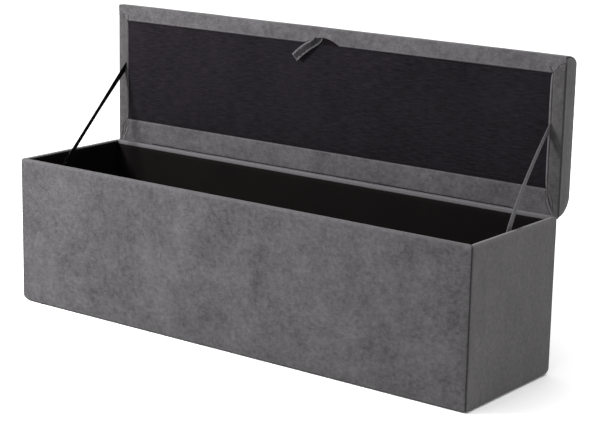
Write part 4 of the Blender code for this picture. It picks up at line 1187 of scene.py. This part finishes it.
def stay(side, sign):
    top = np.array(JOINTS[f"{side}_stay_top"]["pos_m"], float)
    mid = np.array(JOINTS[f"{side}_stay_fold"]["pos_m"], float)
    washer_low, washer_high = span(f"{side}_stay_washer")
    foot = (washer_low + washer_high) / 2
    wall = abs(float(foot[0])) + 0.0007
    yz = unit((foot - top)[1:])
    on_lid = top[1:] - yz * (top[1] - (YL + 0.0016)) / yz[0]
    reach = float(np.linalg.norm(foot[1:] - on_lid))
    end = reach + 0.0085
    s = np.concatenate([np.linspace(-0.0110, reach - 0.06, 74), np.linspace(reach - 0.06, end, 36)[1:]])
    x_lid, x_foot = LID_END[side], wall - 0.0012
    ramp = np.clip(s / (reach - 0.012), 0, 1)
    xs = x_lid + (x_foot - x_lid) * ramp ** HANG_SHAPE[side]
    sag = 0.0
    path = np.stack([sign * xs, on_lid[0] + yz[0] * s, on_lid[1] + yz[1] * s - sag], -1)
    # a soft strip never hangs quite flat: it turns a little about its own line between its fixings
    twist = np.radians(np.interp(s / reach, *TWIST[side]))
    width_dir = np.array((0.0, -yz[1], yz[0]))
    out_dir = np.array((sign, 0.0, 0.0))
    across = np.cos(twist)[:, None] * width_dir + np.sin(twist)[:, None] * out_dir
    split = float(np.linalg.norm(top[1:] - on_lid)) + float(np.linalg.norm((mid - top)[1:])) / 2
    cut = int(np.argmin(np.abs(s - split)))
    half, thick = 0.0110, 0.0020
    pieces = []
    for name, sl, ends, nodes in (
        (f"{side}_strip_upper", slice(0, cut + 1), (False, False), (f"{side}_stay_root", f"{side}_stay_upper")),
        (f"{side}_strip_lower", slice(cut, None), (False, True), (f"{side}_stay_lower",)),
    ):
        obj, tangent, a, n, total = ribbon(name, path[sl], across[sl], half, thick, hem=0.28, groove=0.55, ends=ends)
        dress(obj, STRAP_OUT, STRAP_IN)
        outward = sign
        inward_faces = [p.normal.x * outward < -0.02 for p in obj.data.polygons]
        obj.data.polygons.foreach_set("material_index", [int(b) for b in inward_faces])
        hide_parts(*nodes)
        pieces.append((obj, sl, a, n))
    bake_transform(pieces[0][0])
    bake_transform(pieces[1][0])
    return path, across, s




def turned(name, profile, centre, direction, steps=28):
    """A profile of (radius, height) turned about a direction, closed at both ends on the axis or by flat faces."""
    direction = unit(np.array(direction, float))
    side = unit(np.cross(direction, (0.3, 0.2, 0.9)))
    other = np.cross(direction, side)
    rings = []
    for a in np.linspace(0, 2 * np.pi, steps + 1)[:-1]:
        rings.append([np.array(centre) + direction * h + (np.cos(a) * side + np.sin(a) * other) * r for r, h in profile])
    rings = np.array(rings)                       # steps, profile, 3
    n, m, _ = rings.shape
    verts = rings.reshape(-1, 3)
    faces = []
    for i in range(n):
        k = (i + 1) % n
        for j in range(m - 1):
            faces.append((i * m + j, k * m + j, k * m + j + 1, i * m + j + 1))
    faces.append(tuple(i * m for i in range(n)))
    faces.append(tuple(i * m + m - 1 for i in reversed(range(n))))
    return mesh_object(name, verts, faces, sharp=35)


def foot_fixing(side, sign):
    washer_low, washer_high = span(f"{side}_stay_washer")
    centre = (washer_low + washer_high) / 2
    wall = abs(float(centre[0])) + 0.0007
    face = wall - 0.0026
    at = (sign * face, centre[1], centre[2])
    washer = turned(
        f"{side}_foot_washer",
        [(0.0026, 0.0), (0.0080, 0.0), (0.0085, 0.0003), (0.0085, 0.0007), (0.0080, 0.0010), (0.0026, 0.0010), (0.0022, 0.0007), (0.0022, 0.0003)] + [(0.0026, 0.0)][:0],
        at, (-sign, 0, 0), 40,
    )
    dress(washer, STEEL)
    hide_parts(f"{side}_stay_washer")
    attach(washer, "box")
    head = [(0.00005, -0.0090), (0.0009, -0.0076), (0.0017, -0.0066), (0.0018, 0.0008), (0.0030, 0.0010), (0.0043, 0.0013), (0.0046, 0.0017), (0.0042, 0.0025), (0.0030, 0.0031), (0.0014, 0.0034), (0.00005, 0.0035)]
    screw = turned(f"{side}_foot_screw", head, at, (-sign, 0, 0), 36)
    # a cross recess pressed into the head
    bm = bmesh.new()
    bm.from_mesh(screw.data)
    for vtx in bm.verts:
        rel = np.array(vtx.co) - np.array(at)
        h = -sign * rel[0]
        if h > 0.0022:
            y, z = rel[1], rel[2]
            if (abs(y) < 0.0006 and abs(z) < 0.0024) or (abs(z) < 0.0006 and abs(y) < 0.0024):
                vtx.co.x += sign * 0.0012
    bm.to_mesh(screw.data)
    bm.free()
    dress(screw, STEEL)
    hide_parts(f"{side}_stay_screw")
    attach(screw, "box")


for side, sign in (("left", -1), ("right", 1)):
    stay(side, sign)
    foot_fixing(side, sign)

# --------------------------------------------------------------- the pull tab
TAB_PATH = [  # (x, v, off the panel), from under the border to the free end
    (-0.0085, 0.3850, 0.0006), (-0.0092, 0.3785, 0.0016), (-0.0120, 0.3715, 0.0042), (-0.0175, 0.3645, 0.0084), (-0.0265, 0.3575, 0.0122),
    (-0.0388, 0.3496, 0.0150), (-0.0598, 0.3345, 0.0160), (-0.0828, 0.3155, 0.0150),
]
TAB_TURN = ((0.0, 0.15, 0.32, 0.50, 0.75, 1.0), (0.0, 4.0, 26.0, 36.0, 20.0, 4.0))


def pull_tab():
    curve = catmull(TAB_PATH, 10)
    face = float(PANEL_LOW[1])
    path = np.stack([curve[:, 0], face - curve[:, 2], ZL + curve[:, 1]], -1)
    ahead = unit(np.gradient(path, axis=0))
    flat = unit(np.stack([ahead[:, 0], 0 * ahead[:, 0], ahead[:, 2]], -1))
    across = np.stack([-flat[:, 2], 0 * flat[:, 0], flat[:, 0]], -1)
    turn = np.radians(np.interp(np.linspace(0, 1, len(path)), *TAB_TURN))[:, None]
    across = np.cos(turn) * across + np.sin(turn) * np.array((0.0, 1.0, 0.0))
    obj, tangent, a, n, total = ribbon("pull_tab_ribbon", path, across, 0.0120, 0.0016, hem=0.5, groove=0.0)
    dress(obj, TAB)
    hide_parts("pull_tab")
    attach(obj, "lid")
    out = -np.sign(n[:, 1].mean()) * n
    for k, off in enumerate((-0.0098, -0.0074, 0.0074, 0.0098)):
        row = stitches(f"pull_tab_stitch_{k + 1}", path + a * off + out * 0.00088, out, THREAD, 0.0026, 0.0007, 0.00028)
        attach(row, "lid")
    tip = path[-1] - tangent[-1] * 0.0030
    ends = np.array([tip + a[-1] * q + out[-1] * 0.00085 for q in np.linspace(-0.0105, 0.0105, 12)])
    row = stitches("pull_tab_stitch_5", ends, np.tile(out[-1], (12, 1)), THREAD, 0.0026, 0.0007, 0.00028)
    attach(row, "lid")


pull_tab()

# -------------------------------------------------- materials on the CAD nodes
for node, obj in NODES.items():
    if obj.hide_render:
        continue
    if "hinge_screw" in node or "stay_screw" in node or "washer" in node:
        dress(obj, STEEL)
    elif "hinge" in node:
        dress(obj, STEEL)
    elif node.startswith("glide"):
        dress(obj, GLIDE)
    elif "cleat" in node:
        dress(obj, PINE)
    elif "foam" in node:
        dress(obj, FOAM)
    elif "board" in node:
        dress(obj, CHIP)
    elif "wadding" in node:
        dress(obj, WADDING)
    else:
        dress(obj, LINING)

# ------------------------------------------------------------ floor and light
def studio():
    size = 30.0
    bm = bmesh.new()
    bmesh.ops.create_grid(bm, x_segments=2, y_segments=2, size=size)
    mesh = bpy.data.meshes.new("studio_floor")
    bm.to_mesh(mesh)
    bm.free()
    floor = bpy.data.objects.new("studio_floor", mesh)
    SCENE.collection.objects.link(floor)
    t = Tree("studio_floor")
    t.surface(t.mix(t.remap(t.noise(0.6, 2.0), 0.3, 0.7), (0.95, 0.95, 0.95), (0.965, 0.965, 0.965)), 0.9, Specular_IOR_Level=0.0)
    dress(floor, t.mat)

    world = bpy.data.worlds.new("studio_world")
    world.use_nodes = True
    back = next(n for n in world.node_tree.nodes if n.type == "BACKGROUND")
    # soft light from all round, most of it from overhead
    nodes, links = world.node_tree.nodes, world.node_tree.links
    where = nodes.new("ShaderNodeTexCoord")
    split = nodes.new("ShaderNodeSeparateXYZ")
    links.new(where.outputs["Generated"], split.inputs[0])
    rise = nodes.new("ShaderNodeMapRange")
    rise.inputs["From Min"].default_value = 0.0
    rise.inputs["From Max"].default_value = 0.85
    rise.inputs["To Min"].default_value = 0.52
    rise.inputs["To Max"].default_value = 1.45
    links.new(split.outputs["Z"], rise.inputs["Value"])
    links.new(rise.outputs[0], back.inputs["Strength"])
    back.inputs["Color"].default_value = (1.0, 1.0, 1.0, 1.0)
    SCENE.world = world

    def area(name, place, target, size_x, size_y, power, color=(1, 1, 1)):
        data = bpy.data.lights.new(name, "AREA")
        data.shape = "RECTANGLE"
        data.size, data.size_y = size_x, size_y
        data.energy = power
        data.color = color
        obj = bpy.data.objects.new(name, data)
        SCENE.collection.objects.link(obj)
        obj.location = place
        obj.rotation_euler = (Vector(target) - Vector(place)).to_track_quat("-Z", "Y").to_euler()
        return obj

    area("key", (-1.67, -2.08, 1.91), (-0.35, 0.0, 0.35), 0.7, 0.5, 200.0)
    area("top", (0.2, -0.6, 3.6), (0.1, 0.0, 0.0), 3.4, 2.4, 30.0)


studio()
SCENE.view_settings.view_transform = "Standard"
